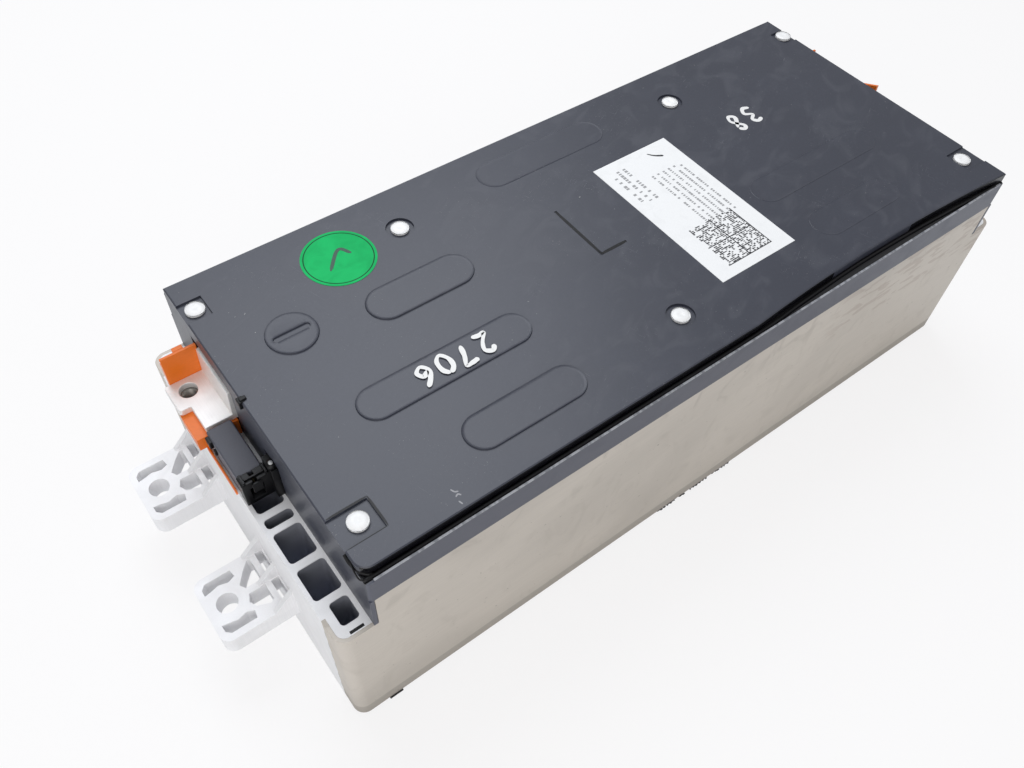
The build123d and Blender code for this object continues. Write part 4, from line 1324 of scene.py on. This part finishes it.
@dataclass
class SignalPort(Assembly):
    """Duct caps, signal connector and the small clips round them."""

    rounding: float = 0.25 * MM

    def latch(self) -> None:
        """Latch bridge and ribs on the connector, and the locating pin on its tower."""
        low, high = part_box("signal_connector")
        cap_low, cap_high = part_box("duct_cap_front")
        corner = (low.x, low.y + 3.2 * MM, cap_high.z + 0.8 * MM)
        wide = (cap_low.y - corner[1]) / MM - 0.4
        boxes = [
            offset(corner, [(0.7, 0.0, 0.0), (1.8, wide, 1.2)]),
            offset(corner, [(9.4, 0.0, 0.0), (10.4, wide, 1.6)]),
            offset(corner, [(1.8, 1.2, 0.0), (9.4, 2.0, 0.9)]),
            offset(corner, [(3.6, -0.8, -6.5), (7.4, 0.2, -1.2)]),
        ]
        self.wardrobe.dress_piece(blocks("connector_latch", boxes, 0.2 * MM), Slot.CONNECTOR)
        # Both tubes lean by a hundredth of a millimetre, since a tube can't follow an upright line.
        seat = (high.x - 2.3 * MM, low.y + 2.0 * MM, high.z)
        collar = tube("locating_collar", offset(seat, [(0, 0, 0), (0.01, 0, 2.4)]), 1.7 * MM, 20)
        self.wardrobe.dress_piece(collar, Slot.CONNECTOR)
        pin = tube("locating_pin", offset(seat, [(0, 0, 2.0), (0.01, 0, 2.9)]), 0.8 * MM, 16)
        self.wardrobe.dress_piece(pin, Slot.CARRIER)

    def clips(self) -> None:
        """Black clips at the cap's corner and at the cover's edge."""
        cap_low, cap_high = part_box("duct_cap_front")
        at_cap = (cap_low.x, cap_high.y, cap_high.z)
        at_cover = (COVER_LOW.x, 0.0, COVER_HIGH.z)
        boxes = [
            offset(at_cap, [(-1.4, -5.2, -4.5), (0.6, -1.6, -1.0)]),
            offset(at_cap, [(-1.0, -7.6, -6.5), (0.4, -6.4, -3.2)]),
            offset(at_cover, [(-1.2, 6.4, -4.0), (1.2, 9.4, -0.4)]),
            offset(at_cover, [(-0.4, 6.9, -1.5), (2.2, 8.6, 0.2)]),
        ]
        self.wardrobe.dress_piece(blocks("edge_clips", boxes, 0.3 * MM), Slot.CONNECTOR)

    def build(self) -> None:
        """Build the port."""
        self.refine(Slot.CAP, self.rounding, "duct_cap_front", "duct_cap_rear")
        self.refine(Slot.CONNECTOR, self.rounding, "signal_connector")
        self.wardrobe.dress_node("signal_pins", Slot.PIN)
        self.latch()
        self.clips()


@dataclass
class CellStack(Assembly):
    """Cells, pads, links and the parts that carry them, all under the cover."""

    def build(self) -> None:
        """Dress every inner CAD node by its slot in the record."""
        inner = {Slot.CELL, Slot.FOAM, Slot.INSULATOR, Slot.LINK, Slot.CARRIER, Slot.FLEX}
        for entry in frame["record"]["subparts"]:
            slot = Slot(entry["material_slot"])
            if slot in inner:
                self.wardrobe.dress_node(entry["node"], slot)


@dataclass
class Studio:
    """Camera, soft lamps and a plain pale floor."""

    eye: Point = (-0.2056, -0.1878, 0.3621)
    turn: Point = (37.017, -2.129, -36.755)
    lens: float = 31.757
    floor_size: float = 12.0

    def camera(self) -> None:
        """A camera above the connector end, looking down along the module."""
        data = bpy.data.cameras.new("camera")
        data.lens = self.lens
        data.sensor_width = 36.0
        data.clip_start = 0.005
        eye = place("camera", data)
        eye.location = self.eye
        eye.rotation_euler = [math.radians(angle) for angle in self.turn]
        bpy.context.scene.camera = eye

    def lamp(self, name: str, stand: Point, aim: Point, size: float, power: float,
             colour: Colour) -> None:
        """One square area lamp.

        Args:
            name: Its name.
            stand: Where it stands.
            aim: What it points at.
            size: Length of its side.
            power: Its power in watts.
            colour: The colour of its light.
        """
        data = bpy.data.lights.new(name, "AREA")
        data.size = size
        data.energy = power
        data.color = colour
        lamp = place(name, data)
        lamp.location = stand
        lamp.rotation_euler = (Vector(aim) - Vector(stand)).to_track_quat("-Z", "Y").to_euler()

    def floor(self) -> None:
        """Pale floor that shows nearly white to the camera and keeps the module's shadow."""
        half = self.floor_size / 2
        mesh = bpy.data.meshes.new("floor")
        corners = [(-half, -half, 0), (half, -half, 0), (half, half, 0), (-half, half, 0)]
        mesh.from_pydata(corners, [], [(0, 1, 2, 3)])
        floor = place("floor", mesh)
        s = Surface("floor_paper")
        speck = s.noise(1.1 * MM, 2.0).ramp(0.76, 0.79) * 0.3
        tone = s.blend(speck, (0.93, 0.93, 0.935), (0.45, 0.45, 0.46))
        s.finish(Base_Color=tone, Roughness=0.7)
        glow = s.add("ShaderNodeEmission", None, {"Color": (0.99, 0.985, 0.99, 1.0), "Strength": 1.0})
        seen = s.wire(s.add("ShaderNodeLightPath"), "Is Camera Ray")
        mixed = s.add("ShaderNodeMixShader", None,
                      {0: seen * 0.78, 1: s.shader.outputs[0], 2: glow.outputs[0]})
        s.feed(s.output.inputs["Surface"], mixed.outputs[0])
        mesh.materials.append(s.material)

    def world(self) -> None:
        """Soft white surroundings."""
        world = bpy.data.worlds.new("surroundings")
        world.use_nodes = True
        graph = NodeGraph(world.node_tree)
        graph.tree.nodes.clear()
        seen = graph.wire(graph.add("ShaderNodeLightPath"), "Is Camera Ray")
        strength = 0.49 + seen * 0.51
        back = graph.add("ShaderNodeBackground", None,
                         {"Color": (0.98, 0.99, 1.0, 1.0), "Strength": strength})
        graph.add("ShaderNodeOutputWorld", None, {"Surface": back.outputs[0]})
        bpy.context.scene.world = world

    def build(self) -> None:
        """Set the whole stage."""
        self.camera()
        self.floor()
        self.world()
        self.lamp("key", (0.10, 0.48, 0.95), (-0.06, 0, 0.05), 0.7, 5.4, (0.90, 0.94, 1.0))
        self.lamp("fill", (-0.7, -0.7, 0.6), (0, 0, 0.05), 0.9, 4.6, (1.0, 0.98, 0.96))
        bpy.context.scene.view_settings.view_transform = "Standard"


def main() -> None:
    """Build the module's looks in order."""
    logging.basicConfig(level=logging.INFO, format="%(name)s %(message)s")
    Studio().build()
    wardrobe = Wardrobe()
    CellStack(wardrobe).build()
    Casing(wardrobe).build()
    Terminals(wardrobe).build()
    SignalPort(wardrobe).build()
    Cover(wardrobe).build()


if __name__ == "__main__":
    main()
